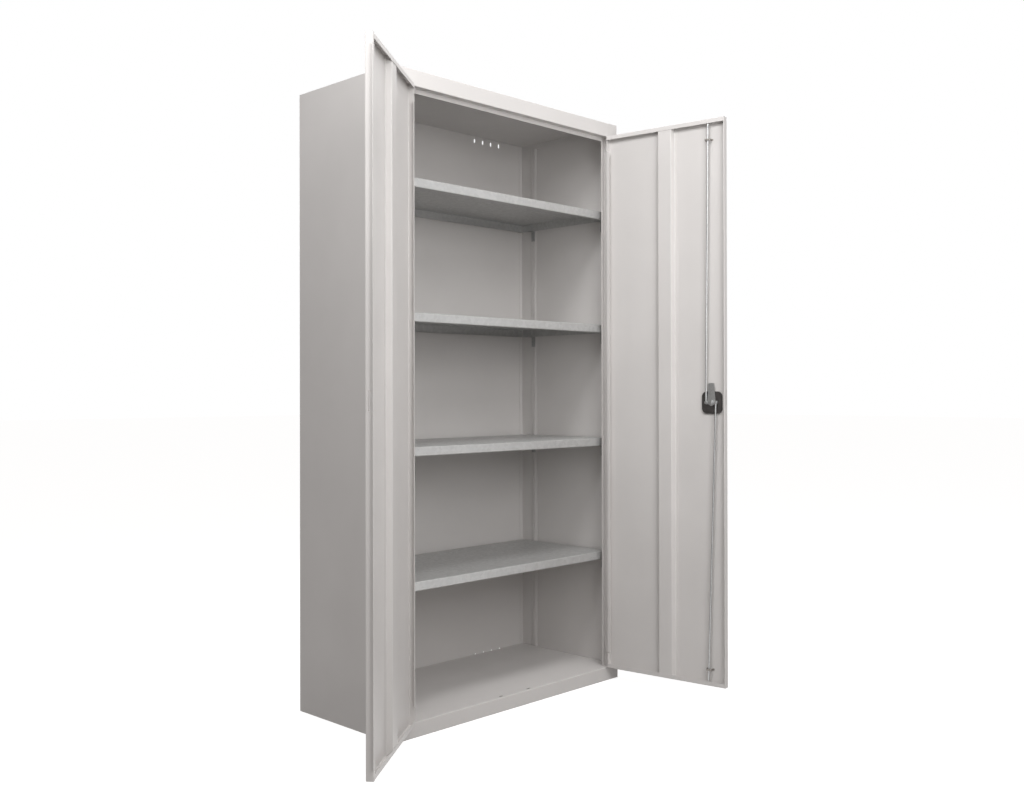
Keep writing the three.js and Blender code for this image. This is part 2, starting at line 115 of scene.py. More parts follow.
class SheetSizes(bpy.types.PropertyGroup):
    """Sizes of the folded sheet that the frame's boxes do not give."""

    bend_radius: bpy.props.FloatProperty(
        name="Bend radius", description="Radius inside a fold", default=1.2 * MM, unit="LENGTH")
    shelf_bend: bpy.props.FloatProperty(
        name="Shelf bend", description="Radius inside the folds of a shelf",
        default=2 * MM, unit="LENGTH")
    bend_steps: bpy.props.IntProperty(
        name="Bend steps", description="Facets round a fold", default=5, min=1)
    fascia: bpy.props.FloatProperty(
        name="Fascia height", description="Height of the band over the doors",
        default=48 * MM, unit="LENGTH")
    stile: bpy.props.FloatProperty(
        name="Stile width", description="Width of the front face of each side",
        default=42 * MM, unit="LENGTH")
    rebate: bpy.props.FloatProperty(
        name="Rebate depth", description="Depth that a door closes into",
        default=24 * MM, unit="LENGTH")
    rear_flange: bpy.props.FloatProperty(
        name="Rear flange", description="Fold that the back panel lies on",
        default=15 * MM, unit="LENGTH")
    foot_flange: bpy.props.FloatProperty(
        name="Foot flange", description="Fold under the plinth", default=25 * MM, unit="LENGTH")
    tray_flange: bpy.props.FloatProperty(
        name="Tray flange", description="Folds at the sides of the top and floor",
        default=20 * MM, unit="LENGTH")
    shelf_return: bpy.props.FloatProperty(
        name="Shelf return", description="Fold under the edge of a shelf",
        default=12 * MM, unit="LENGTH")


class DoorSizes(bpy.types.PropertyGroup):
    """Sizes of the doors, counted from the hinge axis."""

    thickness: bpy.props.FloatProperty(
        name="Thickness", description="Depth of the door pan", default=20 * MM, unit="LENGTH")
    hinge_edge: bpy.props.FloatProperty(
        name="Hinge edge", description="From the hinge axis to the door",
        default=1 * MM, unit="LENGTH")
    free_edge: bpy.props.FloatProperty(
        name="Free edge", description="From the hinge axis to the far edge",
        default=456 * MM, unit="LENGTH")
    lip: bpy.props.FloatProperty(
        name="Strip lip", description="Width of the lip that carries the meeting strip",
        default=12 * MM,
        unit="LENGTH")
    hem_depth: bpy.props.FloatProperty(
        name="Hem depth", description="How far the lock's edge is folded back",
        default=9 * MM, unit="LENGTH")
    hem_width: bpy.props.FloatProperty(
        name="Hem width", description="Thickness of the folded edge", default=3 * MM, unit="LENGTH")
    hinge_lip: bpy.props.FloatProperty(
        name="Hinge lip", description="Width of the lip at the hinges",
        default=11 * MM, unit="LENGTH")
    end_lip: bpy.props.FloatProperty(
        name="End lip", description="Width of the lips across the door",
        default=14 * MM, unit="LENGTH")
    relief: bpy.props.FloatProperty(
        name="Lip relief", description="Length of lip cut away at each hinge",
        default=55 * MM, unit="LENGTH")
    rod_edge: bpy.props.FloatProperty(
        name="Rod from edge", description="From the free edge to the rods",
        default=61 * MM, unit="LENGTH")
    rod_depth: bpy.props.FloatProperty(
        name="Rod depth", description="From the skin's face to the rods",
        default=13.5 * MM, unit="LENGTH")
    stiffener_share: bpy.props.FloatProperty(
        name="Stiffener place", description="Share of the door's width",
        default=0.51, subtype="FACTOR")
    stiffener_face: bpy.props.FloatProperty(
        name="Stiffener face", description="Width of the stiffener's flat",
        default=50 * MM, unit="LENGTH")
    stiffener_slope: bpy.props.FloatProperty(
        name="Stiffener slope", description="Width of each sloping wall",
        default=5 * MM, unit="LENGTH")
    stiffener_foot: bpy.props.FloatProperty(
        name="Stiffener foot", description="Width of each welded foot",
        default=12 * MM, unit="LENGTH")


class Finishes(bpy.types.PropertyGroup):
    """Colours of the finishes."""

    paint: bpy.props.FloatVectorProperty(
        name="Powder coat", description="Light warm grey powder coat",
        default=linear("#D6D3D1"), subtype="COLOR")
    paint_shade: bpy.props.FloatVectorProperty(
        name="Powder coat shade", description="Slightly darker patches",
        default=linear("#D1CECC"), subtype="COLOR")
    galvanised: bpy.props.FloatVectorProperty(
        name="Galvanised", description="Zinc spangle, light crystals",
        default=linear("#C0C0BF"), subtype="COLOR")
    galvanised_dark: bpy.props.FloatVectorProperty(
        name="Galvanised dark", description="Zinc spangle, dull crystals",
        default=linear("#B6B6B5"), subtype="COLOR")
    zinc: bpy.props.FloatVectorProperty(
        name="Zinc plate", description="Bright zinc on rods, clips and pins",
        default=linear("#B8B9B9"), subtype="COLOR")
    dark_steel: bpy.props.FloatVectorProperty(
        name="Dark steel", description="Phosphated steel of the straps",
        default=linear("#84807C"), subtype="COLOR")
    plastic: bpy.props.FloatVectorProperty(
        name="Black plastic", description="Moulded cup and handle",
        default=linear("#2E2B2A"), subtype="COLOR")


class StageSettings(bpy.types.PropertyGroup):
    """Camera and lamps."""

    camera_place: bpy.props.FloatVectorProperty(
        name="Camera place", description="Where the camera stands",
        default=(-2.4341, -2.4529, 1.0049), subtype="TRANSLATION", unit="LENGTH")
    heading: bpy.props.FloatProperty(
        name="Heading", description="Turn of the view from +Y towards +X",
        default=math.radians(46.499), subtype="ANGLE")
    pitch: bpy.props.FloatProperty(
        name="Pitch", description="Tilt of the view above level",
        default=math.radians(0.216), subtype="ANGLE")
    roll: bpy.props.FloatProperty(
        name="Roll", description="Turn of the picture",
        default=math.radians(0.111), subtype="ANGLE")
    lens: bpy.props.FloatProperty(
        name="Lens", description="Focal length on a 36 mm sensor", default=37.83, unit="CAMERA")
    shift_across: bpy.props.FloatProperty(name="Shift across", description="Lens shift", default=-0.0339)
    shift_up: bpy.props.FloatProperty(name="Shift up", description="Lens shift", default=-0.0159)
    sky_power: bpy.props.FloatProperty(
        name="Sky lamp", description="Soft lamp high over the room", default=65.0, unit="POWER")
    left_power: bpy.props.FloatProperty(
        name="Left lamp", description="Soft lamp above the left door", default=30.0, unit="POWER")
    front_power: bpy.props.FloatProperty(
        name="Front lamp", description="Soft lamp above the camera's side",
        default=14.0, unit="POWER")
    inside_power: bpy.props.FloatProperty(
        name="Inside lamp", description="Soft lamp that looks into the opening",
        default=19.0, unit="POWER")
    rear_power: bpy.props.FloatProperty(
        name="Rear lamp", description="Soft lamp behind, which the photograph's view does not see",
        default=25.0, unit="POWER")
    ambient: bpy.props.FloatProperty(
        name="Ambient", description="Strength of the plain room light", default=0.35)
    ambient_colour: bpy.props.FloatVectorProperty(
        name="Ambient colour", description="Slightly warm room light",
        default=linear("#FFFAF8"), subtype="COLOR")


# Flat outlines and solids

def bent_outline(path, thickness, inside=None):
    """Outline of a sheet bent along a path, which is one of its faces. Positive lies on the left."""
    sizes = bpy.context.scene.cupboard_sheet
    inside = inside or sizes.bend_radius
    points = [Vector(point) for point in path]
    face = []
    back = []
    for index, point in enumerate(points):
        before = (point - points[index - 1]).normalized() if index else None
        after = (points[index + 1] - point).normalized() if index + 1 < len(points) else before
        before = before or after
        normal = Vector((-before.y, before.x))
        turn = math.atan2(before.cross(after), before.dot(after))
        if abs(turn) < STRAIGHT:
            face.append(point)
            back.append(point + normal * thickness)
            continue
        bend = math.copysign(1, turn)
        outside = abs(thickness) if bend * thickness > 0 else 0
        radius = inside + outside
        centre = point - before * radius * math.tan(abs(turn) / 2) + normal * bend * radius
        for step in range(sizes.bend_steps + 1):
            turned = Matrix.Rotation(turn * step / sizes.bend_steps, 2) @ normal
            face.append(centre - turned * bend * radius)
            back.append(face[-1] + turned * thickness)
    return face + back[::-1]


def rounded_outline(centre, width, length, corner, steps=5):
    """A rectangle with round corners, as flat points."""
    points = []
    for quarter, (across, along) in enumerate(((1, 1), (-1, 1), (-1, -1), (1, -1))):
        middle = Vector(centre) + Vector((across * (width / 2 - corner), along * (length / 2 - corner)))
        for step in range(steps + 1):
            angle = (quarter + step / steps) * math.pi / 2
            points.append(middle + Vector((math.cos(angle), math.sin(angle))) * corner)
    return points


def rectangle(across, along):
    """A plain rectangle between two limits each way, as flat points."""
    return [Vector((across[i], along[j])) for i, j in ((0, 0), (1, 0), (1, 1), (0, 1))]


def stand(axis, flat, place):
    """A flat point at a place along an axis."""
    if axis == "X":
        return Vector((place, flat[0], flat[1]))
    if axis == "Y":
        return Vector((flat[0], place, flat[1]))
    return Vector((flat[0], flat[1], place))


def as_object(bm):
    """An object in the scene from a finished bmesh, with its faces pointing outwards."""
    bmesh.ops.recalc_face_normals(bm, faces=bm.faces)
    mesh = bpy.data.meshes.new("work")
    bm.to_mesh(mesh)
    bm.free()
    obj = bpy.data.objects.new("work", mesh)
    bpy.context.scene.collection.objects.link(obj)
    return obj


def bridge(bm, first, second):
    """Faces between two rings of vertices, either of which may be one point."""
    count = max(len(first), len(second))
    for index in range(count):
        following = (index + 1) % count
        corners = [first[index % len(first)], first[following % len(first)],
                   second[following % len(second)], second[index % len(second)]]
        bm.faces.new(list(dict.fromkeys(corners)))


def lofted(rings, closed=False):
    """A body through rings of points, with its ends capped, or with the last joined to the first."""
    bm = bmesh.new()
    made = [[bm.verts.new(point) for point in ring] for ring in rings]
    for first, second in zip(made, made[1:]):
        bridge(bm, first, second)
    if closed:
        bridge(bm, made[-1], made[0])
    else:
        for ring in (made[0], made[-1]):
            if len(ring) > 2:
                bm.faces.new(ring)
    return as_object(bm)


def prism(outline, axis, start, end):
    """A straight body with a flat outline, between two places along an axis."""
    return lofted([[stand(axis, point, place) for point in outline] for place in (start, end)])


def turned(profile, axis, centre=(0, 0), sides=48, closed=False):
    """A body turned round an axis from points that give radius and place along it."""
    rings = []
    for radius, place in profile:
        count = sides if radius > 0 else 1
        flats = [(centre[0] + radius * math.cos(2 * math.pi * i / count),
                  centre[1] + radius * math.sin(2 * math.pi * i / count)) for i in range(count)]
        rings.append([stand(axis, flat, place) for flat in flats])
    return lofted(rings, closed)


def in_metres(profile):
    """A profile in metres from its points in millimetres."""
    return [(radius * MM, place * MM) for radius, place in profile]


def settle(obj):
    """Turns an object with modifiers into the plain mesh that they make."""
    graph = bpy.context.evaluated_depsgraph_get()
    mesh = bpy.data.meshes.new_from_object(obj.evaluated_get(graph))
    obj.modifiers.clear()
    obj.data = mesh
    return obj


def combine(base, tools, operation):
    """Joins tools to a body, or cuts them from it, and removes them."""
    for tool in tools:
        modifier = base.modifiers.new(operation.title(), "BOOLEAN")
        modifier.operation = operation
        modifier.solver = "EXACT"
        modifier.object = tool
    settle(base)
    for tool in tools:
        bpy.data.objects.remove(tool)
    return base


def bevelled(obj, width, segments=2, angle=35):
    """Rounds the sharp edges of a body."""
    modifier = obj.modifiers.new("Round edges", "BEVEL")
    modifier.width = width
    modifier.segments = segments
    modifier.limit_method = "ANGLE"
    modifier.angle_limit = math.radians(angle)
    return settle(obj)


def finished(obj, name, body, slot, nodes=(), place=None):
    """Gives a body its place, finish and shading, and lets it stand for its nodes."""
    if place is not None:
        obj.data.transform(place)
    obj.name = name
    obj.data.name = name
    obj.data.materials.clear()
    obj.data.materials.append(bpy.data.materials[SLOT_FINISH[slot]])
    obj.data.shade_smooth()
    obj.data.set_sharp_from_angle(angle=SHARP_EDGE)
    modifier = obj.modifiers.new("Flat faces", "WEIGHTED_NORMAL")
    modifier.keep_sharp = True
    modifier.weight = 100
    settle(obj)
    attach(obj, body)
    if nodes:
        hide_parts(*nodes)
    return obj


# Node trees

def add_node(tree, kind, inputs=None, **settings):
    """Adds a node with its settings, and sets or links its inputs."""
    node = tree.nodes.new(kind)
    for key, value in settings.items():
        setattr(node, key, value)
    for key, value in (inputs or {}).items():
        if isinstance(value, bpy.types.NodeSocket):
            tree.links.new(value, node.inputs[key])
        else:
            node.inputs[key].default_value = value
    return node


def geometry_tree(name, sockets):
    """An empty geometry tree with named inputs, and its input and output nodes."""
    tree = bpy.data.node_groups.new(name, "GeometryNodeTree")
    tree.interface.new_socket("Geometry", in_out="INPUT", socket_type="NodeSocketGeometry")
    for label, kind in sockets:
        tree.interface.new_socket(label, in_out="INPUT", socket_type=f"NodeSocket{kind}")
    tree.interface.new_socket("Geometry", in_out="OUTPUT", socket_type="NodeSocketGeometry")
    return tree, add_node(tree, "NodeGroupInput").outputs


def end_tree(tree, geometry, material):
    """Realizes what a tree made, gives it its material and sends it out."""
    real = add_node(tree, "GeometryNodeRealizeInstances", {"Geometry": geometry})
    painted = add_node(tree, "GeometryNodeSetMaterial",
                       {"Geometry": real.outputs[0], "Material": material})
    add_node(tree, "NodeGroupOutput", {"Geometry": painted.outputs[0]})
    return tree


def slot_row_tree():
    """Cuts a row of round-ended slots through a sheet."""
    tree, given = geometry_tree("Row of slots", [
        ("Width", "Float"), ("Length", "Float"), ("Corner", "Float"), ("Depth", "Float"),
        ("First", "Vector"), ("Step", "Vector"), ("Count", "Int"), ("Turn", "Vector"),
        ("Material", "Material")])
    corner_points = 6
    touching = 0.001 * MM
    edge = add_node(tree, "GeometryNodeCurvePrimitiveQuadrilateral",
                    {"Width": given["Width"], "Height": given["Length"]})
    rounded = add_node(tree, "GeometryNodeFilletCurve",
                       {"Curve": edge.outputs[0], "Count": corner_points, "Radius": given["Corner"]},
                       mode="POLY")
    face = add_node(tree, "GeometryNodeFillCurve", {"Curve": rounded.outputs[0]})
    depth = add_node(tree, "ShaderNodeCombineXYZ", {"Z": given["Depth"]})
    half_down = add_node(tree, "ShaderNodeVectorMath",
                         {0: depth.outputs[0], 1: (-0.5, -0.5, -0.5)}, operation="MULTIPLY")
    lowered = add_node(tree, "GeometryNodeTransform",
                       {"Geometry": face.outputs[0], "Translation": half_down.outputs[0]})
    raised = add_node(tree, "GeometryNodeExtrudeMesh",
                      {"Mesh": lowered.outputs[0], "Offset": depth.outputs[0], "Individual": False})
    under = add_node(tree, "GeometryNodeFlipFaces", {"Mesh": lowered.outputs[0]})
    both = add_node(tree, "GeometryNodeJoinGeometry")
    tree.links.new(raised.outputs["Mesh"], both.inputs[0])
    tree.links.new(under.outputs["Mesh"], both.inputs[0])
    cutter = add_node(tree, "GeometryNodeMergeByDistance",
                      {"Geometry": both.outputs[0], "Distance": touching})
    row = add_node(tree, "GeometryNodeMeshLine",
                   {"Count": given["Count"], "Start Location": given["First"], "Offset": given["Step"]})
    placed = add_node(tree, "GeometryNodeInstanceOnPoints",
                      {"Points": row.outputs[0], "Instance": cutter.outputs[0],
                       "Rotation": given["Turn"]})
    cutters = add_node(tree, "GeometryNodeRealizeInstances", {"Geometry": placed.outputs[0]})
    pierced = add_node(tree, "GeometryNodeMeshBoolean",
                       {"Mesh 1": given["Geometry"], "Mesh 2": cutters.outputs[0]},
                       operation="DIFFERENCE", solver="EXACT")
    return end_tree(tree, pierced.outputs[0], given["Material"])


def weld_row_tree():
    """A row of spot weld marks: a shallow lens with a raised rim, under the paint."""
    tree, given = geometry_tree("Row of spot welds", [
        ("Radius", "Float"), ("Rise", "Float"), ("First", "Vector"), ("Step", "Vector"),
        ("Count", "Int"), ("Turn", "Vector"), ("Material", "Material")])
    rim_points = 20
    section_points = 6
    lens_points = 16
    lens_share = 0.7
    rim_path = add_node(tree, "GeometryNodeCurvePrimitiveCircle",
                        {"Resolution": rim_points, "Radius": given["Radius"]})
    rim_section = add_node(tree, "GeometryNodeCurvePrimitiveCircle",
                           {"Resolution": section_points, "Radius": given["Rise"]})
    rim = add_node(tree, "GeometryNodeCurveToMesh",
                   {"Curve": rim_path.outputs[0], "Profile Curve": rim_section.outputs[0]})
    ball = add_node(tree, "GeometryNodeMeshUVSphere",
                    {"Segments": lens_points, "Rings": lens_points // 2, "Radius": 1.0})
    flat = add_node(tree, "ShaderNodeCombineXYZ",
                    {"X": given["Radius"], "Y": given["Radius"], "Z": given["Rise"]})
    smaller = add_node(tree, "ShaderNodeVectorMath",
                       {0: flat.outputs[0], 1: (lens_share, lens_share, lens_share)},
                       operation="MULTIPLY")
    lens = add_node(tree, "GeometryNodeTransform",
                    {"Geometry": ball.outputs["Mesh"], "Scale": smaller.outputs[0]})
    both = add_node(tree, "GeometryNodeJoinGeometry")
    tree.links.new(rim.outputs[0], both.inputs[0])
    tree.links.new(lens.outputs[0], both.inputs[0])
    row = add_node(tree, "GeometryNodeMeshLine",
                   {"Count": given["Count"], "Start Location": given["First"], "Offset": given["Step"]})
    placed = add_node(tree, "GeometryNodeInstanceOnPoints",
                      {"Points": row.outputs[0], "Instance": both.outputs[0],
                       "Rotation": given["Turn"]})
    return end_tree(tree, placed.outputs[0], given["Material"])


def run_tree(obj, tree, values):
    """Runs a geometry tree on an object with named inputs, and keeps the plain mesh."""
    modifier = obj.modifiers.new(tree.name, "NODES")
    modifier.node_group = tree
    names = {item.name: item.identifier for item in tree.interface.items_tree if item.in_out == "INPUT"}
    for label, value in values.items():
        modifier[names[label]] = value
    return settle(obj)


def pierce(obj, slot, width, length, first, step, count, turn):
    """Cuts a row of round-ended slots, each width by length, through a sheet."""
    through = 12 * MM
    return run_tree(obj, bpy.data.node_groups["Row of slots"], {
        "Width": width, "Length": length, "Corner": min(width, length) * ROUND_END, "Depth": through,
        "First": first, "Step": step, "Count": count, "Turn": turn,
        "Material": bpy.data.materials[SLOT_FINISH[slot]]})


def spot_welds(rows, name, body, slot, place=None, radius=2.6 * MM, rise=0.16 * MM):
    """Rows of spot weld marks on one body. Each row is its first place, step, count and turn."""
    made = []
    for first, step, count, turn in rows:
        obj = as_object(bmesh.new())
        run_tree(obj, bpy.data.node_groups["Row of spot welds"], {
            "Radius": radius, "Rise": rise, "First": first, "Step": step, "Count": count, "Turn": turn,
            "Material": bpy.data.materials[SLOT_FINISH[slot]]})
        made.append(obj)
    bm = bmesh.new()
    for obj in made:
        bm.from_mesh(obj.data)
        bpy.data.objects.remove(obj)
    return finished(as_object(bm), name, body, slot, place=place)


# Finishes

SLOT_FINISH = {
    "paint": "Textured powder coat on steel",
    "galvanised": "Hot-dip galvanised steel",
    "zinc": "Bright zinc plated steel",
    "dark_steel": "Phosphated steel",
    "black_plastic": "Moulded black polyamide",
}


# Sockets of the Mix node for colours: the two that go in, and the one that comes out
COLOUR_A = 6
COLOUR_B = 7
COLOUR_MIXED = 2


def per(millimetres):
    """Texture scale for a feature of that size, on coordinates in metres."""
    return 1 / (millimetres * MM)


def shader_tree(slot):
    """The empty tree of a slot's new material, and its object coordinates."""
    material = bpy.data.materials.new(SLOT_FINISH[slot])
    material.use_nodes = True
    tree = material.node_tree
    tree.nodes.clear()
    return tree, add_node(tree, "ShaderNodeTexCoord").outputs["Object"]


def patches(tree, coordinates, size, ranges, detail, roughness=0.5):
    """Soft patches of a size in millimetres, with their value spread over each of the ranges."""
    cloud = add_node(tree, "ShaderNodeTexNoise", {
        "Vector": coordinates, "Scale": per(size), "Detail": detail, "Roughness": roughness})
    # Most of the noise lies between 0.3 and 0.7.
    return [add_node(tree, "ShaderNodeMapRange", {
        "Value": cloud.outputs["Fac"], "From Min": 0.3, "From Max": 0.7,
        "To Min": start, "To Max": end}).outputs[0] for start, end in ranges]


def relief(tree, coordinates, size, detail, strength, depth):
    """Fine relief, with its size and depth in millimetres, for a surface's normal."""
    grain = add_node(tree, "ShaderNodeTexNoise",
                     {"Vector": coordinates, "Scale": per(size), "Detail": detail})
    bump = add_node(tree, "ShaderNodeBump", {
        "Height": grain.outputs["Fac"], "Strength": strength, "Distance": depth * MM})
    return bump.outputs[0]


def end_shader(tree, share, first, second, inputs):
    """Ends a material with a surface that goes from one colour to another by a share."""
    tint = add_node(tree, "ShaderNodeMix",
                    {0: share, COLOUR_A: (*first, 1.0), COLOUR_B: (*second, 1.0)}, data_type="RGBA")
    surface = add_node(tree, "ShaderNodeBsdfPrincipled",
                       {"Base Color": tint.outputs[COLOUR_MIXED], **inputs})
    add_node(tree, "ShaderNodeOutputMaterial", {"Surface": surface.outputs[0]})


def powder_coat(colours):
    """Powder coat: sprayed dry and baked, so it is satin, with fine orange peel and faint clouds."""
    tree, coordinates = shader_tree("paint")
    [clouds] = patches(tree, coordinates, size=260, ranges=[(0, 1)], detail=3)
    [smudges] = patches(tree, coordinates, size=90, ranges=[(0.36, 0.48)], detail=4, roughness=0.6)
    # The peel of a real coat is 1 to 2 mm across. It is drawn at 3 mm, so that it shows close up.
    peel = relief(tree, coordinates, size=3, detail=1, strength=0.12, depth=0.1)
    end_shader(tree, clouds, colours.paint, colours.paint_shade, {"Roughness": smudges, "Normal": peel})


def galvanised(colours):
    """Hot-dip galvanised sheet: faint zinc crystals under a dull patina, so it is partly metallic."""
    tree, coordinates = shader_tree("galvanised")
    # Spangle is about 10 mm wide. Its straight cell edges are bent by up to 4 mm.
    crystal_size = 10
    warp_size = 14
    warp = 4 * MM
    warped = add_node(tree, "ShaderNodeTexNoise",
                      {"Vector": coordinates, "Scale": per(warp_size), "Detail": 1.0})
    shift = add_node(tree, "ShaderNodeVectorMath",
                     {0: warped.outputs["Color"], 1: (warp, warp, warp)}, operation="MULTIPLY")
    bent = add_node(tree, "ShaderNodeVectorMath", {0: coordinates, 1: shift.outputs[0]}, operation="ADD")
    crystals = add_node(tree, "ShaderNodeTexVoronoi",
                        {"Vector": bent.outputs[0], "Scale": per(crystal_size)})
    single = add_node(tree, "ShaderNodeSeparateColor", {"Color": crystals.outputs["Color"]})
    dullness = add_node(tree, "ShaderNodeMapRange",
                        {"Value": single.outputs[1], "To Min": 0.34, "To Max": 0.5})
    grain = relief(tree, coordinates, size=5, detail=3, strength=0.08, depth=0.1)
    end_shader(tree, single.outputs[0], colours.galvanised, colours.galvanised_dark,
               {"Metallic": 0.45, "Roughness": dullness.outputs[0], "Normal": grain})


def zinc_plate(colours):
    """Bright zinc plate: thin, shiny and even, with faint dull spots."""
    tree, coordinates = shader_tree("zinc")
    dull_share = 0.82
    spots, dullness = patches(tree, coordinates, size=6, ranges=[(0, 1), (0.28, 0.42)], detail=3)
    dull = tuple(channel * dull_share for channel in colours.zinc)
    end_shader(tree, spots, colours.zinc, dull, {"Metallic": 1.0, "Roughness": dullness})


def phosphated(colours):
    """Phosphated steel: dark grey, matt and finely mottled, with brighter rubbed spots spread through
    the mottle.
    """
    tree, coordinates = shader_tree("dark_steel")
    rubbed_share = 1.5
    mottle, dullness = patches(
        tree, coordinates, size=4, ranges=[(0, 1), (0.34, 0.5)], detail=4, roughness=0.65)
    rubbed = tuple(min(1.0, channel * rubbed_share) for channel in colours.dark_steel)
    end_shader(tree, mottle, colours.dark_steel, rubbed, {"Metallic": 0.85, "Roughness": dullness})


def black_polyamide(colours):
    """Glass-filled polyamide: moulded, near black, with the fine sparkle of a spark-eroded mould."""
    tree, coordinates = shader_tree("black_plastic")
    worn_share = 1.6
    haze, dullness = patches(tree, coordinates, size=12, ranges=[(0, 1), (0.36, 0.5)], detail=4)
    worn = tuple(channel * worn_share for channel in colours.plastic)
    # Spark erosion is about 0.1 mm. It is drawn at 0.8 mm, so that it shows close up.
    grain = relief(tree, coordinates, size=0.8, detail=1, strength=0.2, depth=0.05)
    end_shader(tree, haze, colours.plastic, worn, {"Roughness": dullness, "Normal": grain})


# Carcass

ROD_SLOT = (16 * MM, 8 * MM)  # width and depth of each slot that a locking rod goes through


def inset_points(side, pairs):
    """Flat points from pairs of distance in from a side's outer face and distance behind the front."""
    return [(side * (half_width - inset), front + depth) for inset, depth in pairs]


def side_sheet(side):
    """One side with its stile, rebate and door stop, folded from one sheet."""
    sizes = bpy.context.scene.cupboard_sheet
    rear = tray_back - front
    stop_face = sizes.rebate - sheet
    flat = [(sizes.rear_flange, rear), (0, rear), (0, 0), (sizes.stile, 0)]
    full = flat + [(sizes.stile, stop_face), (stop_inset, stop_face)]
    start = floor_level + seam
    end = height - sizes.fascia - seam
    body = prism(bent_outline(inset_points(side, full), -side * sheet), "Z", start, end)
    ends = [prism(bent_outline(inset_points(side, flat), -side * sheet), "Z", *span)
            for span in ((0, start), (end, height))]
    combine(body, ends, "UNION")
    notch = [(sizes.stile + sheet, sizes.rebate - 2 * sheet), (stop_inset + sheet, sizes.rebate + sheet)]
    across = sorted(side * (half_width - inset) for inset, _ in notch)
    along = [front + depth for _, depth in notch]
    trim = prism(rectangle(across, along), "Z", stop_bottom - seam, height)
    return combine(body, [trim], "DIFFERENCE")


def deck_strip(level):
    """The wide part of the top or floor, with a flange down at each side."""
    sizes = bpy.context.scene.cupboard_sheet
    wide = half_width - sheet - seam
    flange = level - sizes.tray_flange
    path = [(-wide, flange), (-wide, level), (wide, level), (wide, flange)]
    clear = sizes.bend_radius + 2 * sheet
    return prism(bent_outline(path, -sheet), "Y", front + clear, tray_back)


def rod_slots(obj, level):
    """The two slots for the locking rods near the middle of the top or floor."""
    sizes = bpy.context.scene.cupboard_door
    reach = sizes.rod_edge + sizes.hinge_edge
    return pierce(obj, "paint", *ROD_SLOT, (-reach, front + sizes.rod_depth, level),
                  (2 * reach, 0, 0), 2, FACING_UP)


def top_sheet():
    """The top with its fascia, the roof of the rebate and the upper door stop."""
    sizes = bpy.context.scene.cupboard_sheet
    opening_top = height - sizes.fascia
    stop_face = front + sizes.rebate - sheet
    path = [(tray_back, height), (front, height), (front, opening_top),
            (stop_face, opening_top), (stop_face, stop_bottom)]
    across = half_width - sizes.stile - seam
    body = prism(bent_outline(path, sheet), "X", -across, across)
    combine(body, [deck_strip(height)], "UNION")
    return rod_slots(body, opening_top + sheet / 2)


def floor_sheet():
    """The floor with its plinth and the flange that stands on the ground."""
    sizes = bpy.context.scene.cupboard_sheet
    path = [(tray_back, floor_level), (front, floor_level), (front, 0), (front + sizes.foot_flange, 0)]
    across = half_width - sizes.stile - seam
    body = prism(bent_outline(path, sheet), "X", -across, across)
    combine(body, [deck_strip(floor_level)], "UNION")
    return rod_slots(body, floor_level - sheet / 2)


def back_sheet():
    """The back with four rows of upright vent slots."""
    wide = half_width - sheet - seam
    body = prism(rectangle((-wide, wide), (0, height)), "Y", back_face - sheet, back_face)
    slot_width = 7 * MM
    slot_height = 15 * MM
    pitch = 41 * MM
    count = 4
    group_inset = 185 * MM
    upper_row = height - 18 * MM
    lower_row = 41 * MM
    for level in (upper_row, lower_row):
        for side in SIDES.values():
            first = side * (half_width - group_inset) - (count - 1) / 2 * pitch
            pierce(body, "paint", slot_width, slot_height, (first, back_face - sheet / 2, level),
                   (pitch, 0, 0), count, FACING_FRONT)
    return body


def back_welds():
    """Rows of spot welds that hold the back: up each side, and along the top and the floor."""
    edge_inset = 9 * MM
    first_level = 75 * MM
    upright_step = 120 * MM
    flange_drop = 10 * MM
    first_across = -405 * MM
    level_step = 90 * MM
    rows = [((side * (half_width - edge_inset), back_face, first_level),
             (0, 0, upright_step), 16, FACING_FRONT) for side in SIDES.values()]
    return rows + [((first_across, back_face, level - flange_drop),
                    (level_step, 0, 0), 10, FACING_FRONT) for level in (height, floor_level)]


class CUPBOARD_OT_carcass(bpy.types.Operator):
    """Fold the two sides, the top, the floor and the back"""

    bl_idname = "cupboard.carcass"
    bl_label = "Carcass"

    def execute(self, context):
        for name, side in SIDES.items():
            finished(side_sheet(side), f"{name}_side_sheet", "carcass", "paint", [f"{name}_side_panel"])
        for maker, name in ((top_sheet, "top"), (floor_sheet, "floor"), (back_sheet, "back")):
            finished(maker(), f"{name}_sheet", "carcass", "paint", [f"{name}_panel"])
        spot_welds(back_welds(), "carcass_spot_welds", "carcass", "paint")
        return {"FINISHED"}


# Rails, clips and shelves

def rail_sheet(node, side):
    """A hat-section rail with a row of hook slots."""
    corner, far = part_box(node)
    middle = (corner.y + far.y) / 2 - front
    edge = 15 * MM
    root = 12 * MM
    crest = 7 * MM
    slot_height = 10 * MM
    slot_width = 4 * MM
    first_slot = 200 * MM
    slot_pitch = 100 * MM
    slot_count = 17
    seat = half_width - max(abs(corner.x), abs(far.x)) + sheet
    face = half_width - min(abs(corner.x), abs(far.x))
    path = [(seat, middle - edge), (seat, middle - root), (face, middle - crest),
            (face, middle + crest), (seat, middle + root), (seat, middle + edge)]
    body = prism(bent_outline(inset_points(side, path), -side * sheet), "Z", corner.z, far.z)
    first = (side * (half_width - face + sheet / 2), front + middle, first_slot)
    return pierce(body, "paint", slot_height, slot_width, first, (0, 0, slot_pitch), slot_count,
                  FACING_SIDE)


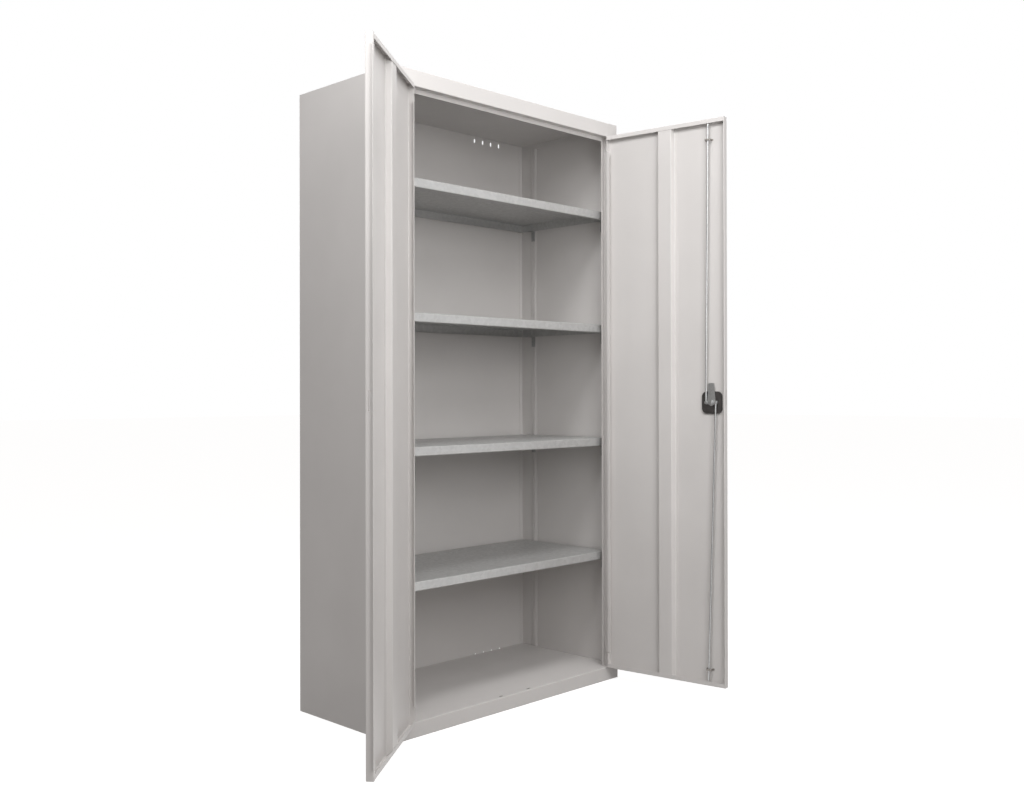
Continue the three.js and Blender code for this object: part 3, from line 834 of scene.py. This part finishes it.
def clip_sheet(node, side):
    """A shelf clip: a leg on the rail, a ledge under the shelf and a hook in the rail's slot."""
    corner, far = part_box(node)
    thick = 1.5 * MM
    leg_inset = 4.6 * MM
    hook_drop = 16.7 * MM
    half_hook_height = 4.7 * MM
    half_hook_width = 1.7 * MM
    edge_round = 0.25 * MM
    inner = min(abs(corner.x), abs(far.x))
    outer = max(abs(corner.x), abs(far.x))
    leg = half_width - leg_inset
    path = [(side * leg, corner.z), (side * leg, far.z), (side * inner, far.z)]
    body = prism(bent_outline(path, side * thick), "Y", corner.y, far.y)
    across = sorted((side * (leg - thick / 2), side * outer))
    level = far.z - hook_drop
    middle = (corner.y + far.y) / 2
    hook = prism(rectangle(across, (level - half_hook_height, level + half_hook_height)),
                 "Y", middle - half_hook_width, middle + half_hook_width)
    combine(body, [hook], "UNION")
    return bevelled(body, edge_round)


def shelf_sheet(node):
    """A shelf tray folded down on four sides, with a return under its front and back."""
    sizes = bpy.context.scene.cupboard_sheet
    corner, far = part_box(node)
    long_path = [(corner.y + sizes.shelf_return, corner.z), (corner.y, corner.z), (corner.y, far.z),
                 (far.y, far.z), (far.y, corner.z), (far.y - sizes.shelf_return, corner.z)]
    body = prism(bent_outline(long_path, -sheet, sizes.shelf_bend), "X", corner.x, far.x)
    end_path = [(corner.x, corner.z), (corner.x, far.z), (far.x, far.z), (far.x, corner.z)]
    clear = sizes.shelf_bend + 2 * sheet
    ends = prism(bent_outline(end_path, -sheet), "Y", corner.y + clear, far.y - clear)
    return combine(body, [ends], "UNION")


class CUPBOARD_OT_shelving(bpy.types.Operator):
    """Fold the shelf rails, the shelf clips and the shelves"""

    bl_idname = "cupboard.shelving"
    bl_label = "Rails, clips and shelves"

    def execute(self, context):
        for name, side in SIDES.items():
            for place in PLACES:
                node = f"{name}_{place}_shelf_rail"
                finished(rail_sheet(node, side), f"{name}_{place}_rail_sheet", "carcass", "paint",
                         [node])
                for shelf in SHELVES:
                    clip = f"shelf_{shelf}_{name}_{place}_clip"
                    finished(clip_sheet(clip, side), f"{clip}_plate", "carcass", "zinc", [clip])
        for shelf in SHELVES:
            node = f"shelf_{shelf}"
            finished(shelf_sheet(node), f"{node}_tray", node, "galvanised", [node])
        return {"FINISHED"}


# Doors. They are built closed, with X and Y counted from the hinge axis, and then swung open.

def door_place(name):
    """The place of a closed door, swung to where it stands."""
    hinge = joint(f"{name}_door_swing")
    swing = Matrix.Rotation(math.radians(-hinge["range_deg"][0]), 4, Vector(hinge["axis"]))
    return Matrix.Translation(hinge["pos_m"]) @ swing


def depth_of(depth):
    """Distance behind the hinge axis of a depth behind the front of the frame."""
    return depth + front - joint("left_door_swing")["pos_m"][1]


def door_points(side, pairs):
    """Flat points of a closed door from pairs of reach from the hinge axis and depth."""
    return [(-side * reach, depth_of(depth)) for reach, depth in pairs]


def door_box(side, reaches, depths, levels):
    """A box in a closed door, as a cutter or a bar."""
    across = sorted(-side * reach for reach in reaches)
    return prism(rectangle(across, [depth_of(depth) for depth in depths]), "Z", *levels)


def edge_slots(side):
    """Cutters for the rods' slots in a door's ends and the latch's slot in its free edge."""
    sizes = bpy.context.scene.cupboard_door
    far = sizes.free_edge
    rod = (-side * (far - sizes.rod_edge), depth_of(sizes.rod_depth))
    rod_corner = 3.9 * MM
    outline = rounded_outline(rod, *ROD_SLOT, rod_corner)
    cutters = [prism(outline, "Z", level - 2 * sheet, level + 2 * sheet)
               for level in (door_low, door_high)]
    latch_depth = 9.3 * MM
    latch_rise = 14 * MM
    latch_width = 4 * MM
    latch_length = 54 * MM
    latch_corner = 1.9 * MM
    latch = (depth_of(latch_depth), joint("handle_turn")["pos_m"][2] + latch_rise)
    outline = rounded_outline(latch, latch_width, latch_length, latch_corner)
    across = sorted((-side * (far - sizes.hem_width - sheet), -side * (far + sheet)))
    return cutters + [prism(outline, "X", *across)]


def door_sheet(side):
    """A door pan with lips on its edges, cut away at the hinges. The right one is hemmed at the lock."""
    sizes = bpy.context.scene.cupboard_door
    near = sizes.hinge_edge
    far = sizes.free_edge
    deep = sizes.thickness
    hem = sizes.hem_width
    hem_bend_share = 0.45
    inside = bpy.context.scene.cupboard_sheet.bend_radius
    path = [(near + sizes.hinge_lip, deep), (near, deep), (near, 0), (far, 0), (far, deep)]
    if side < 0:
        path.append((far - sizes.lip, deep))
    else:
        path += [(far - hem, deep), (far - hem, deep - sizes.hem_depth)]
        inside = (hem - 2 * sheet) * hem_bend_share
    body = prism(bent_outline(door_points(side, path), -side * sheet, inside), "Z", door_low, door_high)
    reaches = (near + sheet, near + sizes.hinge_lip + sheet)
    depths = (deep - 3 * sheet, deep + sheet)
    spans = ((door_low - sheet, door_low + sizes.relief), (door_high - sizes.relief, door_high + sheet))
    combine(body, [door_box(side, reaches, depths, span) for span in spans], "DIFFERENCE")
    ends = [(deep, door_low + sizes.end_lip), (deep, door_low), (0, door_low),
            (0, door_high), (deep, door_high), (deep, door_high - sizes.end_lip)]
    end_path = [(depth_of(depth), level) for depth, level in ends]
    across = sorted((-side * (near + sheet / 2), -side * (far - sheet / 2)))
    combine(body, [prism(bent_outline(end_path, -sheet), "X", *across)], "UNION")
    return combine(body, edge_slots(side), "DIFFERENCE")


def stiffener_middle():
    """Reach of the stiffener's middle from the hinge axis."""
    sizes = bpy.context.scene.cupboard_door
    return sizes.hinge_edge + (sizes.free_edge - sizes.hinge_edge) * sizes.stiffener_share


def stiffener_sheet(side):
    """The hat-section stiffener down the middle of a door."""
    sizes = bpy.context.scene.cupboard_door
    half = sizes.stiffener_face / 2
    root = half + sizes.stiffener_slope
    foot = root + sizes.stiffener_foot
    middle = stiffener_middle()
    seat = 2 * sheet + seam
    crest = sizes.thickness - sheet - seam
    path = [(middle - foot, seat), (middle - root, seat), (middle - half, crest),
            (middle + half, crest), (middle + root, seat), (middle + foot, seat)]
    gap = sheet + seam
    outline = bent_outline(door_points(side, path), side * sheet)
    return prism(outline, "Z", door_low + gap, door_high - gap)


def stiffener_welds(side):
    """A row of spot welds through each foot of a door's stiffener."""
    sizes = bpy.context.scene.cupboard_door
    middle = stiffener_middle()
    foot = sizes.stiffener_face / 2 + sizes.stiffener_slope + sizes.stiffener_foot / 2
    first_rise = 70 * MM
    step = 107 * MM
    return [((-side * reach, depth_of(2 * sheet + seam), door_low + first_rise),
             (0, 0, step), 17, FACING_FRONT) for reach in (middle - foot, middle + foot)]


def strip_sheet():
    """The flat strip on the left door that closes the gap between the doors."""
    sizes = bpy.context.scene.cupboard_door
    thick = 1.2 * MM
    seated = 10 * MM
    overlap = 7 * MM
    margin = 30 * MM
    edge_round = 0.3 * MM
    start = sizes.thickness + seam
    body = door_box(-1, (sizes.free_edge - seated, sizes.free_edge + overlap), (start, start + thick),
                    (door_low + margin, door_high - margin))
    return bevelled(body, edge_round)


def lock_opening():
    """The cutter for the lock's square hole in the right door."""
    size = 73 * MM
    corner = 17.5 * MM
    hole = lock_place().translation
    outline = rounded_outline((hole.x, hole.z), size, size, corner, steps=ROUND_STEPS)
    return prism(outline, "Y", depth_of(-2 * sheet), depth_of(2 * sheet))


class CUPBOARD_OT_doors(bpy.types.Operator):
    """Fold the two door pans with their stiffeners and the meeting strip"""

    bl_idname = "cupboard.doors"
    bl_label = "Doors"

    def execute(self, context):
        for name, side in SIDES.items():
            place = door_place(name)
            body = f"{name}_door"
            pan = door_sheet(side)
            if name == "right":
                combine(pan, [lock_opening()], "DIFFERENCE")
            finished(pan, f"{body}_pan", body, "paint", [f"{body}_panel"], place)
            finished(stiffener_sheet(side), f"{body}_hat", body, "paint", [f"{body}_stiffener"], place)
            spot_welds(stiffener_welds(side), f"{body}_spot_welds", body, "paint", place)
        finished(strip_sheet(), "meeting_strip_bar", "left_door", "paint", ["meeting_strip"],
                 door_place("left"))
        return {"FINISHED"}


# Hinges

def barrel_body(node):
    """A hinge barrel, turned and bored, with chamfered ends."""
    corner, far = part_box(node)
    outer = 5 * MM
    bore = 3.1 * MM
    chamfer = 0.5 * MM
    profile = [(bore, corner.z + chamfer), (bore + chamfer, corner.z), (outer - chamfer, corner.z),
               (outer, corner.z + chamfer), (outer, far.z - chamfer), (outer - chamfer, far.z),
               (bore + chamfer, far.z), (bore, far.z - chamfer)]
    return turned(profile, "Z", closed=True)


def pin_body(node):
    """A hinge pin with a domed head."""
    corner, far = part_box(node)
    shank = 3 * MM
    head = 4.6 * MM
    chamfer = 0.6 * MM
    head_low = far.z - 2 * MM
    # Shares of the head's radius, and how many millimetres the dome lies below its top there
    dome = ((1, 1.1), (0.82, 0.4), (0.5, 0.1), (0, 0))
    profile = [(0, corner.z), (shank - chamfer, corner.z), (shank, corner.z + chamfer),
               (shank, head_low), (head - chamfer / 2, head_low), (head, head_low + chamfer)]
    return turned(profile + [(head * share, far.z - drop * MM) for share, drop in dome], "Z")


class CUPBOARD_OT_hinges(bpy.types.Operator):
    """Turn the hinge barrels and pins"""

    bl_idname = "cupboard.hinges"
    bl_label = "Hinges"

    def execute(self, context):
        for name in SIDES:
            place = Matrix.Translation((*joint(f"{name}_door_swing")["pos_m"][:2], 0))
            for level in ("lower", "upper"):
                stem = f"{name}_{level}"
                for owner, body in (("frame", "carcass"), ("door", f"{name}_door")):
                    node = f"{stem}_{owner}_barrel"
                    finished(barrel_body(node), f"{node}_turned", body, "paint", [node], place)
                pin = f"{stem}_hinge_pin"
                finished(pin_body(pin), f"{pin}_turned", "carcass", "zinc", [pin], place)
        return {"FINISHED"}


# Lock. It is built round the spindle, with Y counted back from the door's skin, in the closed door.
# Tables of points are in millimetres.

SPINDLE_BORE = 5.3 * MM


def lock_place():
    """The spindle's place in the closed right door."""
    return Matrix.Translation(door_place("right").inverted() @ Vector(joint("handle_turn")["pos_m"]))


def disc(radius, near, far, sides=48):
    """A plain disc round the spindle, or a hexagon when it has six sides."""
    return turned([(0, near), (radius, near), (radius, far), (0, far)], "Y", sides=sides)


def bored(body, near, far):
    """Cuts the spindle's hole in a body."""
    return combine(body, [disc(SPINDLE_BORE, near, far)], "DIFFERENCE")


def round_ring(width, length, corner, depth):
    """A ring with round corners at a depth, as points round the spindle."""
    outline = rounded_outline((0, 0), width, length, corner, steps=ROUND_STEPS)
    return [stand("Y", point, depth) for point in outline]


def housing_body():
    """The sunk cup with its bezel, one wall all round, open at the spindle."""
    # Each ring is its width, its corner and its depth.
    rings = [
        (10.8, 5.4, 8.0), (70.4, 16.2, 8.0), (71.6, 16.8, 7.6), (72, 17, 6.8), (72, 17, -0.3),
        (84, 20, -0.3), (84, 20, -1.7), (83.4, 19.7, -2.4), (82, 19, -2.8), (68.4, 15.2, -2.8),
        (66.8, 14.4, -2.4), (66, 14, -1.6), (64.6, 13.4, 5.0), (63.4, 13, 5.8), (61.6, 12.4, 6.0),
        (10.8, 5.4, 6.0),
    ]
    return lofted([round_ring(size * MM, size * MM, corner * MM, depth * MM)
                   for size, corner, depth in rings], closed=True)


def handle_body():
    """The wing handle: a round base with a rounded grip across it."""
    base = turned(in_metres([(0, 5.7), (25.4, 5.7), (26, 5.1), (26, 3.0), (25.2, 2.2), (24, 2.0),
                             (0, 2.0)]), "Y")
    grip_length = 50
    grip_width = 12
    end_share = 0.499
    # Each ring of the grip is how much narrower it is, and its depth.
    rings = []
    for narrowing, depth in ((0, 4.5), (0, 0.6), (0.4, -0.9), (1.4, -1.8), (3, -2.2)):
        width = (grip_width - narrowing) * MM
        length = (grip_length - narrowing) * MM
        rings.append(round_ring(length, width, width * end_share, depth * MM))
    boss = turned(in_metres([(0, 4.5), (9, 4.5), (9, -1.6), (8.4, -2.2), (0, -2.2)]), "Y")
    body = combine(base, [lofted(rings), boss], "UNION")
    bore_front = -8 * MM
    bore_back = 4.1 * MM
    return bored(body, bore_front, bore_back)


def plug_body():
    """The key plug with its slot."""
    body = turned(in_metres([(0, 3.0), (5, 3.0), (5, -2.6), (4.6, -3.0), (0, -3.0)]), "Y")
    slot_length = 6 * MM
    slot_width = 1.2 * MM
    slot_corner = 0.3 * MM
    slot_front = -6 * MM
    slot_floor = -1 * MM
    outline = rounded_outline((0, 0), slot_length, slot_width, slot_corner)
    return combine(body, [prism(outline, "Y", slot_front, slot_floor)], "DIFFERENCE")


def spindle_body():
    """The spindle with a threaded end for the nut."""
    profile = in_metres([(0, 6.0), (4.6, 6.0), (5, 6.4), (5, 10.4)])
    turns = 6
    pitch = 0.7 * MM
    root = 4.55 * MM
    crest = 5 * MM
    thread_start = 10.6 * MM
    for turn in range(turns):
        start = thread_start + turn * pitch
        profile += [(root, start), (crest, start + pitch / 2)]
    return turned(profile + in_metres([(4.3, 15.0), (0, 15.0)]), "Y")


def cam_body():
    """The cam plate with its tongue pointing up, and an arm with a rod's pin at each side."""
    near = 8.3 * MM
    far = 10.3 * MM
    hub_radius = 11 * MM
    arm_length = 48 * MM
    arm_width = 12 * MM
    arm_corner = 5.9 * MM
    half = 15 * MM
    tip = 10 * MM
    reach = 64 * MM
    round_tip = 3 * MM
    cut = round_tip * 0.3
    edge_round = 0.35 * MM
    hub = disc(hub_radius, near, far)
    arm = prism(rounded_outline((0, 0), arm_length, arm_width, arm_corner), "Y", near, far)
    outline = [(-half, 0), (half, 0), (tip, reach - round_tip), (tip - cut, reach - cut),
               (tip - round_tip, reach), (round_tip - tip, reach), (cut - tip, reach - cut),
               (-tip, reach - round_tip)]
    tongue = prism([Vector(point) for point in outline], "Y", near, far)
    body = combine(hub, [arm, tongue], "UNION")
    bored(body, near - sheet, far + sheet)
    bevelled(body, edge_round)
    pin_reach = 18 * MM
    pin = in_metres([(0, 9), (2.5, 9), (2.5, 15.9), (2.1, 16.5), (0, 16.5)])
    pins = [turned(pin, "Y", centre=(end * pin_reach, 0), sides=24) for end in SIDES.values()]
    return combine(body, pins, "UNION")


def nut_body():
    """A hexagon nut with its corners turned down."""
    near = 10.6 * MM
    far = 14.6 * MM
    corner = 9 * MM
    flat = 7.9 * MM
    turned_down = 0.9 * MM
    body = disc(corner, near, far, sides=6)
    crown = turned([(0, near), (flat, near), (corner, near + turned_down), (corner, far - turned_down),
                    (flat, far), (0, far)], "Y")
    combine(body, [crown], "INTERSECT")
    return bored(body, near - sheet, far + sheet)


class CUPBOARD_OT_lock(bpy.types.Operator):
    """Build the lock's cup, handle, plug, spindle, cam and nut"""

    bl_idname = "cupboard.lock"
    bl_label = "Lock"

    def execute(self, context):
        place = door_place("right") @ lock_place()
        for maker, name, body, slot in (
            (housing_body, "lock_housing", "right_door", "black_plastic"),
            (handle_body, "lock_handle", "lock", "black_plastic"),
            (plug_body, "lock_plug", "key_plug", "zinc"),
            (spindle_body, "lock_spindle", "lock", "zinc"),
            (cam_body, "lock_cam", "lock", "zinc"),
            (nut_body, "lock_nut", "lock", "zinc"),
        ):
            finished(maker(), f"{name}_body", body, slot, [name], place)
        return {"FINISHED"}


# Locking rods and their straps

def in_closed_door(point):
    """A point of the open right door, in the closed one."""
    return door_place("right").inverted() @ Vector(point)


def rod_body(level):
    """A locking rod with a flattened eye on the cam's pin, leaning to its strap."""
    pin = in_closed_door(joint(f"{level}_rod_swing")["pos_m"])
    corner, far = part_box(f"{level}_rod_strap")
    aim = in_closed_door((corner + far) / 2) - pin
    aim.y = 0
    aim = aim.normalized()
    up = level == "upper"
    tip_gap = 0.5 * MM
    tip_level = door_high - tip_gap if up else door_low + tip_gap
    length = abs(tip_level - pin.z) / abs(aim.z)
    radius = 3 * MM
    tip_radius = radius - 0.8 * MM
    tip_length = 1 * MM
    start = 4.5 * MM
    body = turned([(0, start), (radius, start), (radius, length - tip_length), (tip_radius, length),
                   (0, length)], "Z", sides=24)
    eye = in_metres([(2.8, -1.5), (5.1, -1.5), (5.5, -1.1), (5.5, 1.1), (5.1, 1.5), (2.8, 1.5)])
    combine(body, [turned(eye, "Y", closed=True)], "UNION")
    tilt = Vector((0, 0, 1 if up else -1)).rotation_difference(aim)
    if not up:
        tilt = tilt @ Matrix.Rotation(math.pi, 3, "Y").to_quaternion()
    return finished(body, f"{level}_rod_bar", f"{level}_rod", "zinc", [f"{level}_rod"],
                    door_place("right") @ Matrix.Translation(pin) @ tilt.to_matrix().to_4x4())


def strap_sheet(level):
    """A saddle strap that guides a rod, spot welded to the door by its two feet."""
    corner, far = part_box(f"{level}_rod_strap")
    centre = in_closed_door((corner + far) / 2)
    thick = 1.5 * MM
    seat = sheet + seam + thick
    crest = 18.5 * MM
    wall = 9.5 * MM
    foot = 14 * MM
    edge_round = 0.25 * MM
    path = [(-foot, seat), (-wall, seat), (-wall, crest), (wall, crest), (wall, seat), (foot, seat)]
    points = [(centre.x + across, depth_of(depth)) for across, depth in path]
    body = prism(bent_outline(points, -thick), "Z", corner.z, far.z)
    bevelled(body, edge_round, angle=60)
    return finished(body, f"{level}_rod_saddle", "right_door", "dark_steel", [f"{level}_rod_strap"],
                    door_place("right"))


class CUPBOARD_OT_rods(bpy.types.Operator):
    """Hang the two locking rods and fold the straps that guide them"""

    bl_idname = "cupboard.rods"
    bl_label = "Locking rods"

    def execute(self, context):
        for level in ("upper", "lower"):
            rod_body(level)
            strap_sheet(level)
        return {"FINISHED"}


# Finishes and stage

WHITE = (1.0, 1.0, 1.0, 1.0)
SENSOR_WIDTH = 36  # millimetres

# Each lamp is its name, its place, the place that it looks at and its width. Its power is a setting.
LAMPS = (
    ("sky", (0.0, -2.0, 6.0), (0.0, 0.0, 1.0), 1.5),
    ("left", (-1.7, -0.75, 2.95), (0.5, -0.3, 1.5), 0.8),
    ("front", (-0.8, -1.8, 2.6), (0.3, 0.0, 1.6), 0.8),
    ("inside", (-0.6, -2.2, 1.6), (0.1, 0.3, 0.9), 1.0),
    ("rear", (1.0, 3.0, 2.4), (0.0, 0.3, 1.0), 1.5),
)


class CUPBOARD_OT_finishes(bpy.types.Operator):
    """Mix the finishes and build the node trees that repeat slots and welds"""

    bl_idname = "cupboard.finishes"
    bl_label = "Finishes"

    def execute(self, context):
        colours = context.scene.cupboard_finish
        for maker in (powder_coat, galvanised, zinc_plate, phosphated, black_polyamide):
            maker(colours)
        slot_row_tree()
        weld_row_tree()
        return {"FINISHED"}


def seen_directly(tree):
    """One for rays that show the background: from the camera, in gloss and through glass."""
    path = add_node(tree, "ShaderNodeLightPath")
    gloss = add_node(tree, "ShaderNodeMath",
                     {0: path.outputs["Is Camera Ray"], 1: path.outputs["Is Glossy Ray"]},
                     operation="MAXIMUM")
    both = add_node(tree, "ShaderNodeMath",
                    {0: gloss.outputs[0], 1: path.outputs["Is Transmission Ray"]},
                    operation="MAXIMUM")
    return both.outputs[0]


def studio_world(settings):
    """A plain room light that shows white behind the cupboard."""
    world = bpy.data.worlds.new("Studio")
    bpy.context.scene.world = world
    world.use_nodes = True
    tree = world.node_tree
    tree.nodes.clear()
    room = add_node(tree, "ShaderNodeBackground",
                    {"Color": (*settings.ambient_colour, 1.0), "Strength": settings.ambient})
    white = add_node(tree, "ShaderNodeBackground", {"Color": WHITE, "Strength": 1.0})
    chosen = add_node(tree, "ShaderNodeMixShader",
                      {"Fac": seen_directly(tree), 1: room.outputs[0], 2: white.outputs[0]})
    add_node(tree, "ShaderNodeOutputWorld", {"Surface": chosen.outputs[0]})


def beside_cupboard(tree):
    """One on the open floor, and zero under the cupboard, where it is dark."""
    coordinates = add_node(tree, "ShaderNodeTexCoord").outputs["Object"]
    place = add_node(tree, "ShaderNodeSeparateXYZ", {"Vector": coordinates})
    away = []
    for axis, start, end in (("X", -half_width, half_width), ("Y", front, back_face)):
        moved = add_node(tree, "ShaderNodeMath", {0: place.outputs[axis], 1: (start + end) / 2},
                         operation="SUBTRACT")
        size = add_node(tree, "ShaderNodeMath", {0: moved.outputs[0]}, operation="ABSOLUTE")
        outside = add_node(tree, "ShaderNodeMath", {0: size.outputs[0], 1: (end - start) / 2 - sheet},
                           operation="GREATER_THAN")
        away.append(outside.outputs[0])
    either = add_node(tree, "ShaderNodeMath", {0: away[0], 1: away[1]}, operation="MAXIMUM")
    return either.outputs[0]


def studio_floor():
    """A pale matt floor that shows nearly white and keeps the cupboard's shadow."""
    material = bpy.data.materials.new("Pale studio floor")
    material.use_nodes = True
    tree = material.node_tree
    tree.nodes.clear()
    glow_strength = 0.9
    matt = add_node(tree, "ShaderNodeBsdfDiffuse", {"Color": (*linear("#8E8C8A"), 1.0)})
    shown = add_node(tree, "ShaderNodeMath", {0: seen_directly(tree), 1: beside_cupboard(tree)},
                     operation="MULTIPLY")
    lift = add_node(tree, "ShaderNodeMath", {0: shown.outputs[0], 1: glow_strength},
                    operation="MULTIPLY")
    glow = add_node(tree, "ShaderNodeEmission", {"Color": WHITE, "Strength": lift.outputs[0]})
    both = add_node(tree, "ShaderNodeAddShader", {0: matt.outputs[0], 1: glow.outputs[0]})
    add_node(tree, "ShaderNodeOutputMaterial", {"Surface": both.outputs[0]})
    reach = 40.0
    thick = 20 * MM
    floor = prism(rectangle((-reach, reach), (-reach, reach)), "Z", -thick, 0.0)
    floor.name = "studio_floor"
    floor.data.materials.append(material)


def lamp(name, place, target, size, power):
    """A square area lamp at a place, turned to a target."""
    light = bpy.data.lights.new(name, "AREA")
    light.energy = power
    light.size = size
    obj = bpy.data.objects.new(name, light)
    bpy.context.scene.collection.objects.link(obj)
    obj.location = place
    obj.rotation_euler = (Vector(target) - Vector(place)).to_track_quat("-Z", "Y").to_euler()


class CUPBOARD_OT_stage(bpy.types.Operator):
    """Set the floor, the room light, the lamps and the camera"""

    bl_idname = "cupboard.stage"
    bl_label = "Stage"

    def execute(self, context):
        settings = context.scene.cupboard_stage
        studio_world(settings)
        studio_floor()
        for name, place, target, size in LAMPS:
            lamp(f"{name}_lamp", place, target, size, getattr(settings, f"{name}_power"))
        camera = bpy.data.objects.new("camera", bpy.data.cameras.new("camera"))
        context.scene.collection.objects.link(camera)
        camera.location = settings.camera_place
        camera.rotation_euler = (math.pi / 2 + settings.pitch, settings.roll, -settings.heading)
        camera.data.lens = settings.lens
        camera.data.sensor_width = SENSOR_WIDTH
        camera.data.shift_x = settings.shift_across
        camera.data.shift_y = settings.shift_up
        context.scene.camera = camera
        context.scene.view_settings.view_transform = "Standard"
        return {"FINISHED"}


PIECES = (CUPBOARD_OT_stage, CUPBOARD_OT_finishes, CUPBOARD_OT_carcass, CUPBOARD_OT_shelving,
          CUPBOARD_OT_doors, CUPBOARD_OT_hinges, CUPBOARD_OT_lock, CUPBOARD_OT_rods)
SETTINGS = {
    "cupboard_sheet": SheetSizes,
    "cupboard_door": DoorSizes,
    "cupboard_finish": Finishes,
    "cupboard_stage": StageSettings,
}


class CUPBOARD_PT_panel(bpy.types.Panel):
    """Lists the operators that build the cupboard"""

    bl_label = "Cupboard"
    bl_idname = "CUPBOARD_PT_panel"
    bl_space_type = "VIEW_3D"
    bl_region_type = "UI"
    bl_category = "Cupboard"

    def draw(self, context):
        for operator in PIECES:
            self.layout.operator(operator.bl_idname)


def register():
    """Registers the classes and puts the settings on the scene."""
    for cls in (*SETTINGS.values(), *PIECES, CUPBOARD_PT_panel):
        bpy.utils.register_class(cls)
    for name, group in SETTINGS.items():
        setattr(bpy.types.Scene, name, bpy.props.PointerProperty(type=group))


def unregister():
    """Removes the settings and the classes."""
    for name in SETTINGS:
        delattr(bpy.types.Scene, name)
    for cls in reversed((*SETTINGS.values(), *PIECES, CUPBOARD_PT_panel)):
        bpy.utils.unregister_class(cls)


def main():
    """Builds every piece in order."""
    register()
    for operator in PIECES:
        name = operator.bl_idname.split(".")[1]
        getattr(bpy.ops.cupboard, name)()


if __name__ == "__main__":
    main()
